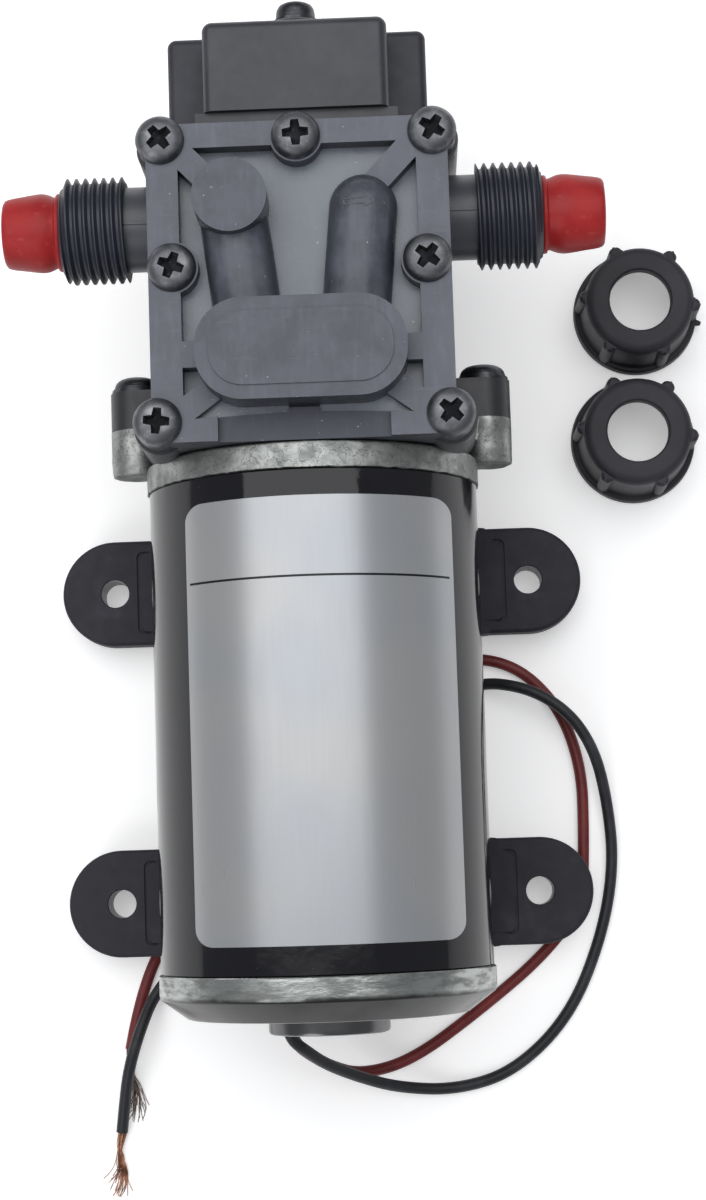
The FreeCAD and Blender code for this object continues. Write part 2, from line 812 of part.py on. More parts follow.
def crankcase():
    half = crankcase_half_x
    case = block(-half, half, hub_front_y, cover_front_y, crankcase_bottom_z, split_z)
    lower = [e for e in edges_at(case, crankcase_bottom_z)]
    case = case.makeFillet(crankcase_edge_radius, lower)
    pieces = [case] + screw_lugs(deep_bottom_z - 8, split_z, cover_boss_radius)
    for side in (-1, 1):
        near, far = sorted((side * (half - 6), side * ear_screw_x))
        pieces.append(block(near, far, hub_front_y, ear_front_y,
                            motor_axis_z - ear_radius, motor_axis_z + ear_radius))
        pieces.append(rod_y(ear_radius, hub_front_y, ear_front_y, side * ear_screw_x))
        lug_low, lug_high = sorted((side * (rear_screw_x - cover_boss_radius), side * rear_screw_x))
        pieces.append(block(lug_low, lug_high, rear_screw_y, hub_front_y + 1,
                            motor_axis_z + bracket_web_half_height + 0.3, split_z))
    solid = fuse(pieces)
    below_lugs = block(-2 * half, 2 * half, cover_rear_y - 5, hub_front_y, 0,
                       motor_axis_z + bracket_web_half_height + 0.3)
    solid = solid.cut(below_lugs)
    solid = solid.cut(rim_space())
    solid = solid.cut(rod_y(bracket_hub_radius + 0.3, cover_rear_y - 1, hub_front_y))
    solid = solid.cut(deep_section())
    solid = solid.cut(rod_y(chamber_r, hub_front_y - 1, hub_front_y + crank_chamber_length))
    solid = solid.cut(rod_z(diaphragm_mouth_radius, motor_axis_z, split_z + 1, 0, crank_y))
    for x, y in cover_screw_places:
        solid = solid.cut(rod_z(screw_radius, screw_tip_z(y), split_z + 1, x, y))
    for side in (-1, 1):
        hole = rod_y(screw_radius + screw_hole_clearance, hub_front_y - 1, ear_front_y + 1,
                     side * ear_screw_x)
        solid = solid.cut(hole)
    return solid.removeSplitter()


def screw_length(y):
    """The two rear screws are shorter, as they end above the front bracket's ears."""
    return rear_screw_length if y == rear_screw_y else cover_screw_length


def screw_tip_z(y):
    return rim_top_z - screw_length(y)


def fitting_socket(side):
    low, high = sorted((side * neck_start_x, side * (cover_half_x + 1)))
    return rod_x(neck_radius, low, high, port_y, port_z)


def valve_body():
    half = cover_half_x - body_side_inset
    slab = block(-half, half, cover_rear_y, cover_front_y, split_z, body_top_z)
    solid = fuse([slab, deep_section()] + screw_lugs(split_z, body_top_z, cover_boss_radius))
    rim_top = split_z + diaphragm_rim_thickness
    tools = [
        rim_space(),
        rod_z(diaphragm_radius, split_z - 1, rim_top, 0, crank_y),
        rod_z(diaphragm_mouth_radius, split_z, deck_bottom_z, 0, crank_y),
    ]
    for side in (-1, 1):
        tools.append(fitting_socket(side))
        low, high = sorted((side * (port_x - passage_radius), side * neck_start_x))
        tools.append(rod_x(spigot_bore_radius, low, high, port_y, port_z))
        tools.append(rod_z(passage_radius, port_z, body_top_z + 1, side * port_x, port_y))
        valve_x = side * valve_offset_x
        tools.append(rod_z(valve_stem_radius + valve_stem_clearance, deck_bottom_z - 1,
                           body_top_z + 1, valve_x, chamber_y))
        for i in range(flow_hole_count):
            turn = 2 * math.pi * (i + 0.5) / flow_hole_count
            tools.append(rod_z(flow_hole_radius, deck_bottom_z - 1, body_top_z + 1,
                               valve_x + flow_hole_ring * math.cos(turn),
                               chamber_y + flow_hole_ring * math.sin(turn)))
    sense_y = port_y + passage_radius - 1.5
    tools.append(rod_x(sensing_hole_radius, 0, port_x, sense_y, port_z))
    tools.append(rod_y(sensing_hole_radius, sense_y, cover_front_y + 1, 0, port_z))
    for x, y in cover_screw_places:
        tools.append(rod_z(screw_radius + screw_hole_clearance, deep_bottom_z - 1,
                           body_top_z + 1, x, y))
    for tool in tools:
        solid = solid.cut(tool)
    solid = solid.cut(cover_seal())
    return solid.removeSplitter()


def cover_seal():
    """Flat rubber ring in a groove round the passages."""
    z0 = body_top_z - seal_groove_depth
    x = chamber_half_x
    y0 = chamber_y - chamber_half_y + 0.8
    y1 = port_y + passage_radius + 2.4
    outer = rounded_plate(-x, x, y0, y1, z0, body_top_z, seal_inset + seal_width)
    inner = rounded_plate(-x + seal_width, x - seal_width, y0 + seal_width, y1 - seal_width,
                          z0 - 1, body_top_z + 1, seal_inset)
    return outer.cut(inner)


def inlet_valve():
    """Rubber mushroom below the deck: opens downwards."""
    low = deck_bottom_z - valve_disc_thickness
    neck_top = body_top_z + valve_travel + valve_bulb_play
    return turned_z([
        (0, low), (valve_disc_radius, low), (valve_disc_radius, deck_bottom_z),
        (valve_stem_radius, deck_bottom_z), (valve_stem_radius, neck_top),
        (valve_bulb_radius, neck_top), (valve_stem_radius, neck_top + valve_bulb_length),
        (0, neck_top + valve_bulb_length),
    ], -valve_offset_x, chamber_y)


def outlet_valve():
    """Rubber mushroom above the deck: opens upwards."""
    high = body_top_z + valve_disc_thickness
    neck_low = deck_bottom_z - valve_travel - valve_bulb_play
    return turned_z([
        (0, high), (valve_disc_radius, high), (valve_disc_radius, body_top_z),
        (valve_stem_radius, body_top_z), (valve_stem_radius, neck_low),
        (valve_bulb_radius, neck_low), (valve_stem_radius, neck_low - valve_bulb_length),
        (0, neck_low - valve_bulb_length),
    ], valve_offset_x, chamber_y)


def chamber_block(inset, z0, z1):
    x = chamber_half_x - inset
    y = chamber_half_y - inset
    return rounded_plate(-x, x, chamber_y - y, chamber_y + y, z0, z1, chamber_corner_radius - inset)


def cover_pocket():
    """Lowered field of the plate, with the ribs and bosses left standing."""
    top = rim_top_z + 1
    y0 = cover_rear_y + cover_rim_rear
    y1 = cover_front_y - cover_rim_front
    field = block(-cover_rim_x, cover_rim_x, y0, y1, floor_z, top)
    ribs = [rod_z(mid_boss_radius, floor_z, top, x, y)
            for x, y in ((0, front_screw_y), (-mid_screw_x, mid_screw_y), (mid_screw_x, mid_screw_y))]
    ribs.append(bar_between((-front_screw_x, front_screw_y + 1.2), (disc_x, disc_y), rib_half_width,
                            floor_z, top))
    ribs.append(bar_between((front_screw_x, front_screw_y + 2.0), (outlet_tube_head_x, outlet_tube_head_y + 2),
                            rib_half_width, floor_z, top))
    for side in (-1, 1):
        near, far = sorted((side * (chamber_half_x - 2), side * (cover_rim_x + 1)))
        ribs.append(block(near, far, side_rib_start, side_rib_start + side_rib_width, floor_z, top))
        ribs.append(bar_between((side * rear_screw_x, rear_screw_y - 1.8),
                                (side * (chamber_half_x - 4), chamber_y - 5.6),
                                rib_half_width, floor_z, top))
    ribs.append(block(-toe_rib_half_x, toe_rib_half_x, y0 - 1, chamber_y - chamber_half_y + 1,
                      floor_z, rim_top_z - toe_strip_depth))
    return field.cut(Part.makeCompound(ribs))


def raised_tube(head_x, head_y, foot_x, domed):
    """Half-round passage standing on the plate."""
    foot = Vector(foot_x, tube_foot_y - 2, tube_axis_z)
    head = Vector(head_x, head_y, tube_axis_z)
    run = head.sub(foot)
    pieces = [Part.makeCylinder(tube_radius, run.Length, foot, run)]
    if domed:
        pieces.append(Part.makeSphere(tube_radius, head))
    solid = pieces[0].multiFuse(pieces[1:]) if len(pieces) > 1 else pieces[0]
    keep = block(-cover_half_x, cover_half_x, cover_rear_y, cover_front_y, body_top_z, chamber_top_z)
    return solid.common(keep)


def tube_bore(head_x, head_y, foot_x):
    foot = Vector(foot_x, tube_foot_y - 3, tube_axis_z)
    head = Vector(head_x, head_y, tube_axis_z)
    run = head.sub(foot)
    bore = Part.makeCylinder(passage_radius, run.Length, foot, run)
    end = Part.makeSphere(passage_radius, head)
    down = rod_z(passage_radius, body_top_z - 1, tube_axis_z, math.copysign(port_x, head_x), port_y)
    link = Part.makeSphere(passage_radius, Vector(math.copysign(port_x, head_x), port_y, tube_axis_z))
    return [bore, end, down, link]


def valve_cover():
    plate = block(-cover_half_x, cover_half_x, cover_rear_y, cover_front_y, body_top_z, rim_top_z)
    plate = fuse([plate] + screw_lugs(body_top_z, rim_top_z, cover_lug_radius))
    plate = plate.makeFillet(cover_edge_radius, edges_at(plate, rim_top_z))
    plate = plate.cut(cover_pocket())
    strip = block(-toe_strip_half_x, toe_strip_half_x, cover_rear_y - 1,
                  cover_rear_y + cover_rim_rear, rim_top_z - toe_strip_depth, rim_top_z + 1)
    plate = plate.cut(strip)
    chamber = chamber_block(0, body_top_z, chamber_top_z)
    chamber = chamber.makeFillet(cover_edge_radius, edges_at(chamber, chamber_top_z))
    panel = chamber_block(panel_inset, chamber_top_z - 1, chamber_top_z + panel_step)
    disc = rod_z(disc_radius, body_top_z, chamber_top_z, disc_x, disc_y)
    disc = disc.makeFillet(cover_edge_radius, edges_at(disc, chamber_top_z))
    tubes = [
        raised_tube(disc_x, disc_y, inlet_tube_foot_x, False),
        raised_tube(outlet_tube_head_x, outlet_tube_head_y, outlet_tube_foot_x, True),
    ]
    solid = fuse([plate, chamber, panel, disc] + tubes)
    wall = chamber_wall
    inner = chamber_block(wall, body_top_z - 1, chamber_top_z - wall)
    inner = inner.cut(block(-chamber_divider / 2, chamber_divider / 2, chamber_y - chamber_half_y,
                            chamber_y + chamber_half_y, body_top_z - 1, chamber_top_z))
    solid = solid.cut(inner)
    for tool in tube_bore(disc_x, disc_y, inlet_tube_foot_x):
        solid = solid.cut(tool)
    for tool in tube_bore(outlet_tube_head_x, outlet_tube_head_y, outlet_tube_foot_x):
        solid = solid.cut(tool)
    for x, y in cover_screw_places:
        solid = solid.cut(rod_z(screw_radius + screw_hole_clearance, body_top_z - 1, rim_top_z + 1, x, y))
    return solid.removeSplitter()


# Fasteners

def pan_head_screw(length, turn, with_washer):
    """Screw along -Z with the underside of its head at the origin."""
    lift = washer_thickness if with_washer else 0.0
    head = rod_z(head_radius, lift, lift + head_height, 0, 0)
    head = head.makeFillet(head_height * 0.55, edges_at(head, lift + head_height))
    cross_top = lift + head_height + 1
    cross_z = lift + head_height - recess_depth
    recess = block(-recess_reach, recess_reach, -recess_half_width, recess_half_width, cross_z, cross_top)
    recess = recess.fuse(block(-recess_half_width, recess_half_width, -recess_reach, recess_reach,
                               cross_z, cross_top))
    recess.rotate(Vector(0, 0, 0), along_z, turn)
    pieces = [head.cut(recess), rod_z(screw_radius, -length, lift + 0.2, 0, 0)]
    if with_washer:
        pieces.append(rod_z(washer_radius, 0, washer_thickness, 0, 0))
    return fuse(pieces)


def cover_screws():
    solids = []
    for (x, y), turn in zip(cover_screw_places, cover_screw_turns):
        screw = pan_head_screw(screw_length(y), turn, False)
        screw.translate(Vector(x, y, rim_top_z))
        solids.append(screw)
    return Part.makeCompound(solids)


def ear_screws():
    length = ear_front_y - bracket_front_y + bracket_ear_overlap + ear_screw_stub
    solids = []
    for side in (-1, 1):
        screw = pan_head_screw(length, 20.0, True)
        screw.rotate(Vector(0, 0, 0), along_x, -90)
        screw.translate(Vector(side * ear_screw_x, ear_front_y, motor_axis_z))
        solids.append(screw)
    return Part.makeCompound(solids)


# Spigots, plugs and nuts

def spigot(side):
    """Plain neck that seats in the valve body, then a 1/2-14 thread."""
    root = thread_radius - thread_depth
    profile = [(neck_start_x, spigot_bore_radius), (neck_start_x, neck_radius),
               (thread_start_x, neck_radius)]
    first_crest = spigot_end_x - thread_pitch * (thread_count - 0.5) - 0.6
    profile.append((thread_start_x, root))
    for i in range(thread_count):
        crest = first_crest + thread_pitch * i
        flat = thread_pitch * 0.08
        profile.append((crest - thread_pitch * 0.42, root))
        profile.append((crest - flat, thread_radius))
        profile.append((crest + flat, thread_radius))
    last = first_crest + thread_pitch * (thread_count - 1)
    profile.append((last + thread_pitch * 0.42, root))
    profile.append((spigot_end_x, root - 0.3))
    profile.append((spigot_end_x, spigot_bore_radius))
    return turned_x(profile, side, port_y, port_z)


def protection_plug(side):
    """Soft plug with a bead against the spigot and a ribbed stem in its bore."""
    x0 = spigot_end_x
    waist = x0 + plug_bead_length
    profile = [
        (x0 - plug_stem_length, 0), (x0 - plug_stem_length, plug_stem_radius - 1.0),
    ]
    step = plug_stem_length / (plug_rib_count + 1)
    for i in range(plug_rib_count):
        rib = x0 - plug_stem_length + step * (i + 0.5)
        profile += [(rib, plug_stem_radius - 1.0), (rib + 0.6, plug_stem_radius),
                    (rib + 1.2, plug_stem_radius - 1.0)]
    profile += [
        (x0, plug_stem_radius - 1.0), (x0, plug_bead_radius - 0.3), (x0 + 0.3, plug_bead_radius),
        (waist - 0.3, plug_bead_radius), (waist, plug_waist_radius),
        (waist + 1.0, plug_waist_radius + 0.35),
        (plug_bulge_x - 0.8, plug_bulge_radius), (plug_bulge_x + 0.8, plug_bulge_radius),
        (plug_tip_x - plug_tip_edge, plug_tip_radius),
        (plug_tip_x - 0.35, plug_tip_radius - 0.35), (plug_tip_x, plug_tip_radius - plug_tip_edge),
        (plug_tip_x, 0),
    ]
    return turned_x(profile, side, port_y, port_z)


def union_nut(x, y):
    """Wing nut for a hose tail: wide mouth down, small end up."""
    top = nut_height
    shell = rod_z(nut_body_radius, 0, top, x, y)
    shell = shell.makeFillet(1.0, edges_at(shell, top))
    flange = rod_z(nut_flange_radius, 0, nut_flange_height, x, y)
    pieces = [shell, flange]
    for i in range(nut_lug_count):
        lug = block(0, nut_body_radius + nut_lug_reach, -nut_lug_half_width, nut_lug_half_width,
                    0.5, top - 1.0)
        lug.rotate(Vector(0, 0, 0), along_z, nut_lug_angle + 360.0 * i / nut_lug_count)
        lug.translate(Vector(x, y, 0))
        pieces.append(lug)
    solid = fuse(pieces)
    solid = solid.cut(rod_z(nut_bore_radius, -1, top - nut_top_thickness, x, y))
    return solid.cut(rod_z(nut_top_hole_radius, -1, top + 1, x, y))


# Pressure switch

def switch_z(height):
    return motor_axis_z + height


def switch_housing():
    top = switch_z(switch_top_height)
    bottom = switch_z(switch_bottom_height)
    base_front = cover_front_y + switch_base_length
    wall = switch_wall
    main = block(-switch_half_x, switch_half_x, base_front, switch_front_y, bottom, top)
    far_corners = [e for e in main.Edges
                   if abs(e.tangentAt(e.FirstParameter).z) > 0.99 and e.BoundBox.YMin > switch_front_y - 0.1]
    upper_edges = [e for e in edges_at(main, top) if e.BoundBox.YMax > base_front + 0.1]
    main = main.makeFillet(switch_corner_radius, far_corners + upper_edges)
    base = block(-switch_base_half_x, switch_base_half_x, cover_front_y, base_front,
                 bottom + 1.5, top - 1.5)
    pieces = [main, base]
    for side in (-1, 1):
        near, far = sorted((side * (switch_half_x - 4), side * lobe_outer_x))
        lobe_top = switch_z(lobe_top_height)
        lobe = block(near, far, cover_front_y, switch_front_y, switch_z(lobe_bottom_height), lobe_top)
        rounded = [e for e in lobe.Edges
                   if abs(e.CenterOfMass.x - side * lobe_outer_x) < 0.01
                   and (e.BoundBox.YMin > switch_front_y - 0.1 or e.BoundBox.ZMin > lobe_top - 0.1)]
        rounded += [e for e in edges_at(lobe, lobe_top) if e.BoundBox.YMin > switch_front_y - 0.1]
        lobe = lobe.makeFillet(lobe_edge_radius, rounded)
        pieces.append(lobe.cut(rod_z(cover_boss_radius + 0.1, 0, lobe_top + 1, side * front_screw_x,
                                     front_screw_y)))
    boss = rod_y(adjuster_boss_radius, switch_front_y - 1, switch_front_y + adjuster_boss_height, 0, port_z)
    end_edge = [e for e in boss.Edges if e.BoundBox.YMin > switch_front_y + adjuster_boss_height - 0.01]
    pieces.append(boss.makeFillet(1.5, end_edge))
    solid = fuse(pieces)
    cavity = block(-switch_half_x + wall, switch_half_x - wall, cover_front_y + switch_seal_thickness,
                   switch_front_y - wall, bottom + wall, top - wall)
    solid = solid.cut(cavity)
    solid = solid.cut(rod_y(switch_seal_radius, cover_front_y - 1, cover_front_y + 3, 0, port_z))
    solid = solid.cut(rod_y(adjuster_thread_radius, switch_front_y - wall - 1,
                            switch_front_y + adjuster_boss_height + 1, 0, port_z))
    return solid.removeSplitter()


def switch_diaphragm():
    return rod_y(switch_seal_radius, cover_front_y, cover_front_y + switch_seal_thickness, 0, port_z)


def plunger_front_y():
    return cover_front_y + switch_seal_thickness


def finger_tip_y():
    return micro_switch_y - button_proud - button_gap


def button_z():
    return switch_z(switch_bottom_height) + switch_wall + micro_switch_height / 2


def switch_plunger():
    start = plunger_front_y()
    flange_front = start + plunger_flange_thickness
    pieces = [
        rod_y(plunger_flange_radius, start, flange_front, 0, port_z),
        rod_y(plunger_stem_radius, start, flange_front + plunger_stem_length, 0, port_z),
        block(-button_half_width, button_half_width, start + 0.6, finger_tip_y(),
              button_z() - button_half_width, port_z - plunger_flange_radius + 1),
    ]
    return fuse(pieces)


def switch_spring():
    start = Vector(0, plunger_front_y() + plunger_flange_thickness, port_z)
    return coil_spring(switch_spring_radius - wire_radius, start, along_y, switch_spring_length, 6)


def adjusting_screw():
    foot_y = plunger_front_y() + plunger_flange_thickness + switch_spring_length
    head_y = switch_front_y + adjuster_boss_height
    head = rod_y(adjuster_head_radius, head_y, head_y + adjuster_head_height, 0, port_z)
    end_edge = [e for e in head.Edges if e.BoundBox.YMin > head_y + adjuster_head_height - 0.01]
    head = head.makeFillet(1.3, end_edge)
    slot = block(-3, 3, head_y + adjuster_head_height - 1.2, head_y + adjuster_head_height + 1,
                 port_z - 0.5, port_z + 0.5)
    pieces = [
        rod_y(adjuster_foot_radius, foot_y, foot_y + adjuster_foot_thickness, 0, port_z),
        rod_y(adjuster_thread_radius - running_clearance, foot_y, head_y + 0.5, 0, port_z),
        head.cut(slot),
    ]
    return fuse(pieces)


def micro_switch():
    z0 = switch_z(switch_bottom_height) + switch_wall
    body = block(-micro_switch_half_x, micro_switch_half_x, micro_switch_y,
                 micro_switch_y + micro_switch_length, z0, z0 + micro_switch_height)
    clear = button_half_width + 0.1
    return body.cut(block(-clear, clear, micro_switch_y - 1, micro_switch_y + button_depth + 1.2,
                          button_z() - clear, button_z() + clear))


def switch_button():
    half = button_half_width
    return block(-half, half, micro_switch_y - button_proud, micro_switch_y + button_depth,
                 button_z() - half, button_z() + half)


# Leads

def lead_grommet():
    """Oval rubber grommet in the rear cap that both leads come out of."""
    z = motor_axis_z + lead_exit_height
    half_x = lead_radius + grommet_margin
    half_z = half_x + lead_spacing / 2
    solid = block(lead_exit_x - half_x, lead_exit_x + half_x, cap_face_y - grommet_length, cap_face_y,
                  z - half_z, z + half_z)
    along = [e for e in solid.Edges if abs(e.tangentAt(e.FirstParameter).y) > 0.99]
    return solid.makeFillet(half_x * 0.95, along)


def lead_corner(before, corner, after):
    """Tangent arc at one point of a route: its ends, middle and radius."""
    back = before.sub(corner)
    ahead = after.sub(corner)
    reach = 0.45 * min(back.Length, ahead.Length)
    back.normalize()
    ahead.normalize()
    half_turn = (math.pi - back.getAngle(ahead)) / 2
    radius = reach / math.tan(half_turn)
    bisector = back.add(ahead).normalize()
    to_centre = radius / math.cos(half_turn)
    middle = corner.add(bisector * (to_centre - radius))
    return corner.add(back * reach), middle, corner.add(ahead * reach), radius


def lead(name, route):
    """Round wire along straight runs joined by tangent arcs."""
    points = [Vector(*p) for p in route]
    edges = []
    radii = []
    here = points[0]
    for before, corner, after in zip(points, points[1:], points[2:]):
        start, middle, end, radius = lead_corner(before, corner, after)
        edges.append(Part.LineSegment(here, start).toShape())
        edges.append(Part.Arc(start, middle, end).toShape())
        radii.append(round(radius, 1))
        here = end
    edges.append(Part.LineSegment(here, points[-1]).toShape())
    path = Part.Wire(edges)
    first = points[1].sub(points[0])
    profile = Part.Wire(Part.makeCircle(lead_radius, points[0], first))
    solid = path.makePipeShell([profile], True, False)
    expected = math.pi * lead_radius ** 2 * path.Length
    print(name, "length", round(path.Length, 1), "radii", radii,
          "volume ratio", round(solid.Volume / expected, 4))
    return solid


def bare_strands(route, tips):
    """Stripped copper strands that fan out from the end of the insulation."""
    end = Vector(*route[-1])
    run = end.sub(Vector(*route[-2])).normalize()
    side = run.cross(along_z).normalize()
    up = side.cross(run).normalize()
    solids = []
    for i, tip in enumerate(tips):
        turn = 2 * math.pi * (i + 0.25) / len(tips)
        start = end.add(side * (strand_ring * math.cos(turn))).add(up * (strand_ring * math.sin(turn)))
        reach = Vector(tip[0], tip[1], 2 * strand_radius).sub(start)
        wire = Part.makeCylinder(strand_radius, reach.Length, start, reach)
        trim = Part.makeBox(20, 20, 4, Vector(-10, -10, -4))
        trim.Placement = FreeCAD.Placement(end, FreeCAD.Rotation(along_z, run))
        solids.append(wire.cut(trim))
    return Part.makeCompound(solids)


makers = {
    "base_bracket": base_bracket,
    "foot_front_left": lambda: rubber_foot(-1, 1),
    "foot_front_right": lambda: rubber_foot(1, 1),
    "foot_rear_left": lambda: rubber_foot(-1, -1),
    "foot_rear_right": lambda: rubber_foot(1, -1),
    "motor_can": motor_can,
    "motor_label": motor_label,
    "front_bracket": front_bracket,
    "front_bearing_outer": front_bearing_outer,
    "front_bearing_inner": front_bearing_inner,
    "rear_cap": rear_cap,
    "rear_bush": rear_bush,
    "field_magnets": field_magnets,
    "brush_plate": brush_plate,
    "brush_left": lambda: carbon_brush(-1),
    "brush_right": lambda: carbon_brush(1),
    "brush_spring_left": lambda: brush_spring(-1),
    "brush_spring_right": lambda: brush_spring(1),
    "motor_shaft": motor_shaft,
    "armature_core": armature_core,
    "armature_windings": armature_windings,
    "commutator": commutator,
    "eccentric": eccentric,
    "eccentric_set_screw": set_screw,
    "rod_bearing_inner": rod_bearing_inner,
    "rod_bearing_outer": rod_bearing_outer,
    "connecting_rod": connecting_rod,
    "piston_plate": piston_plate,
    "piston_screw": piston_screw,
    "diaphragm": diaphragm,
    "crankcase": crankcase,
    "valve_body": valve_body,
    "cover_seal": cover_seal,
    "inlet_valve": inlet_valve,
    "outlet_valve": outlet_valve,
    "valve_cover": valve_cover,
    "cover_screws": cover_screws,
    "ear_screws": ear_screws,
    "inlet_spigot": lambda: spigot(-1),
    "outlet_spigot": lambda: spigot(1),
    "inlet_plug": lambda: protection_plug(-1),
    "outlet_plug": lambda: protection_plug(1),
    "switch_housing": switch_housing,
    "switch_diaphragm": switch_diaphragm,
    "switch_plunger": switch_plunger,
    "switch_spring": switch_spring,
    "adjusting_screw": adjusting_screw,
    "micro_switch": micro_switch,
    "switch_button": switch_button,
    "union_nut_upper": lambda: union_nut(nut_x, nut_y),
    "union_nut_lower": lambda: union_nut(second_nut_x, second_nut_y),
    "lead_grommet": lead_grommet,
    "black_lead": lambda: lead("black_lead", black_route),
    "red_lead": lambda: lead("red_lead", red_route),
    "black_lead_strands": lambda: bare_strands(black_route, black_strand_tips),
    "red_lead_strands": lambda: bare_strands(red_route, red_strand_tips),
}

os.makedirs("parts", exist_ok=True)
for node, maker in makers.items():
    shape = maker()
    shape.exportStep("parts/" + node + ".step")
    print(node, "solids", len(shape.Solids), "volume", round(shape.Volume, 1), "valid", shape.isValid())
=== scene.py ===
from math import atan2, cos, degrees, inf, pi, radians, sin, sqrt, tan
import random

import bmesh
import bpy
from mathutils import Matrix, Vector, noise


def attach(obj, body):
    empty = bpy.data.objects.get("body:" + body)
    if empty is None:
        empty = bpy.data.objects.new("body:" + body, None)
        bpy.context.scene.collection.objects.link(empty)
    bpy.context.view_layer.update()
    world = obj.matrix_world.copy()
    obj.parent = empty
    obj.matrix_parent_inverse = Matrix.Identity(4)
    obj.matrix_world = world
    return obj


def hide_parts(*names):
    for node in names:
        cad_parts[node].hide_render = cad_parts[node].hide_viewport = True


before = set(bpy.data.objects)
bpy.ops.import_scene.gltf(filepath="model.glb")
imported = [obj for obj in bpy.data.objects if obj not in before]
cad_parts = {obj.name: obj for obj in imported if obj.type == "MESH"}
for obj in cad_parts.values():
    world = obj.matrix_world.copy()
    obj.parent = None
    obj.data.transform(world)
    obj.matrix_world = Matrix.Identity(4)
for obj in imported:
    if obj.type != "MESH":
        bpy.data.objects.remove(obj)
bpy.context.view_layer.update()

# The pump is seen from straight above, a little over half a metre away.
# It lies on its feet with its head away from the viewer.

scene = bpy.context.scene
camera_place = (0.0182, -0.0282, 0.5544)
camera_turn = (6.08, 1.40, -1.87)
focal_length = 76.03
sensor_width = 36
nearest_seen = 0.01


def shown(name, data):
    """New object in the scene."""
    made = bpy.data.objects.new(name, data)
    scene.collection.objects.link(made)
    return made


camera = shown("camera", bpy.data.cameras.new("camera"))
camera.data.lens = focal_length
camera.data.sensor_width = sensor_width
camera.data.clip_start = nearest_seen
camera.location = camera_place
camera.rotation_euler = [radians(a) for a in camera_turn]
scene.camera = camera


# Leads: two soft stranded wires, one with black and one with maroon insulation.
# They come out of a grommet in the rear cap and run round and under the motor.

MM = 0.001
lead_diameter = 2.5
black_route = [
    (-9.4, -57.6, 25), (-9.4, -59.6, 25), (-8.3, -62.6, 24.1), (-6, -64.5, 22.6),
    (-2, -67.9, 17.8), (5.1, -71.4, 11.2), (13.2, -74.3, 5), (25.5, -75.4, 1.5),
    (38.1, -71.9, 1.3), (50.4, -60.5, 1.3), (57.9, -43.9, 1.3), (61.2, -28.5, 1.3),
    (60.3, -14.5, 2.2), (57.7, -3.4, 5.6), (52.3, 5, 6.6), (43.3, 10.5, 6.4),
    (32, 12.2, 2), (18, 4.6, 1.3), (-4, -16.6, 1.3), (-26.4, -39.6, 1.3),
    (-38.6, -52, 2.2), (-42.2, -61.1, 6.2), (-44.7, -69.2, 5.8), (-46.1, -76.9, 2.2),
    (-46.8, -82.2, 1.3),
]
red_route = [
    (-9.4, -57.6, 21), (-9.4, -60.3, 21), (-7.4, -63.9, 20), (-5.2, -65.9, 16.9),
    (-1.5, -68.7, 11.1), (5.2, -71.3, 5.4), (16.2, -68.8, 2), (30.8, -58.8, 1.3),
    (45.5, -47.3, 1.3), (54.1, -36.3, 1.3), (55, -21.7, 1.3), (55.1, -6.8, 1.3),
    (50.5, 6.9, 1.3), (40.4, 16.6, 1.3), (26.2, 17.6, 1.3), (9, 5.6, 1.3),
    (-16.1, -18.8, 1.3), (-36.1, -40, 1.3), (-42.3, -53.5, 1.3), (-44.5, -64.7, 1.3),
]
black_length = 0.298
red_length = 0.27


def srgb(red, green, blue):
    """Colour from 0 to 255 as it looks on screen."""
    linear = [((c / 255 + 0.055) / 1.055) ** 2.4 if c > 10 else c / 255 / 12.92 for c in (red, green, blue)]
    return (*linear, 1)


class Shade:
    """A value that changes over a surface. Arithmetic on it adds Math nodes."""

    def __init__(self, finish, socket):
        self.finish = finish
        self.socket = socket

    def math(self, operation, *values):
        return self.finish.node("ShaderNodeMath", {"operation": operation}, dict(enumerate(values)))

    def __add__(self, other):
        return self.math("ADD", self, other)

    def __sub__(self, other):
        return self.math("SUBTRACT", self, other)

    def __rsub__(self, other):
        return self.math("SUBTRACT", other, self)

    def __mul__(self, other):
        return self.math("MULTIPLY", self, other)

    __radd__ = __add__
    __rmul__ = __mul__


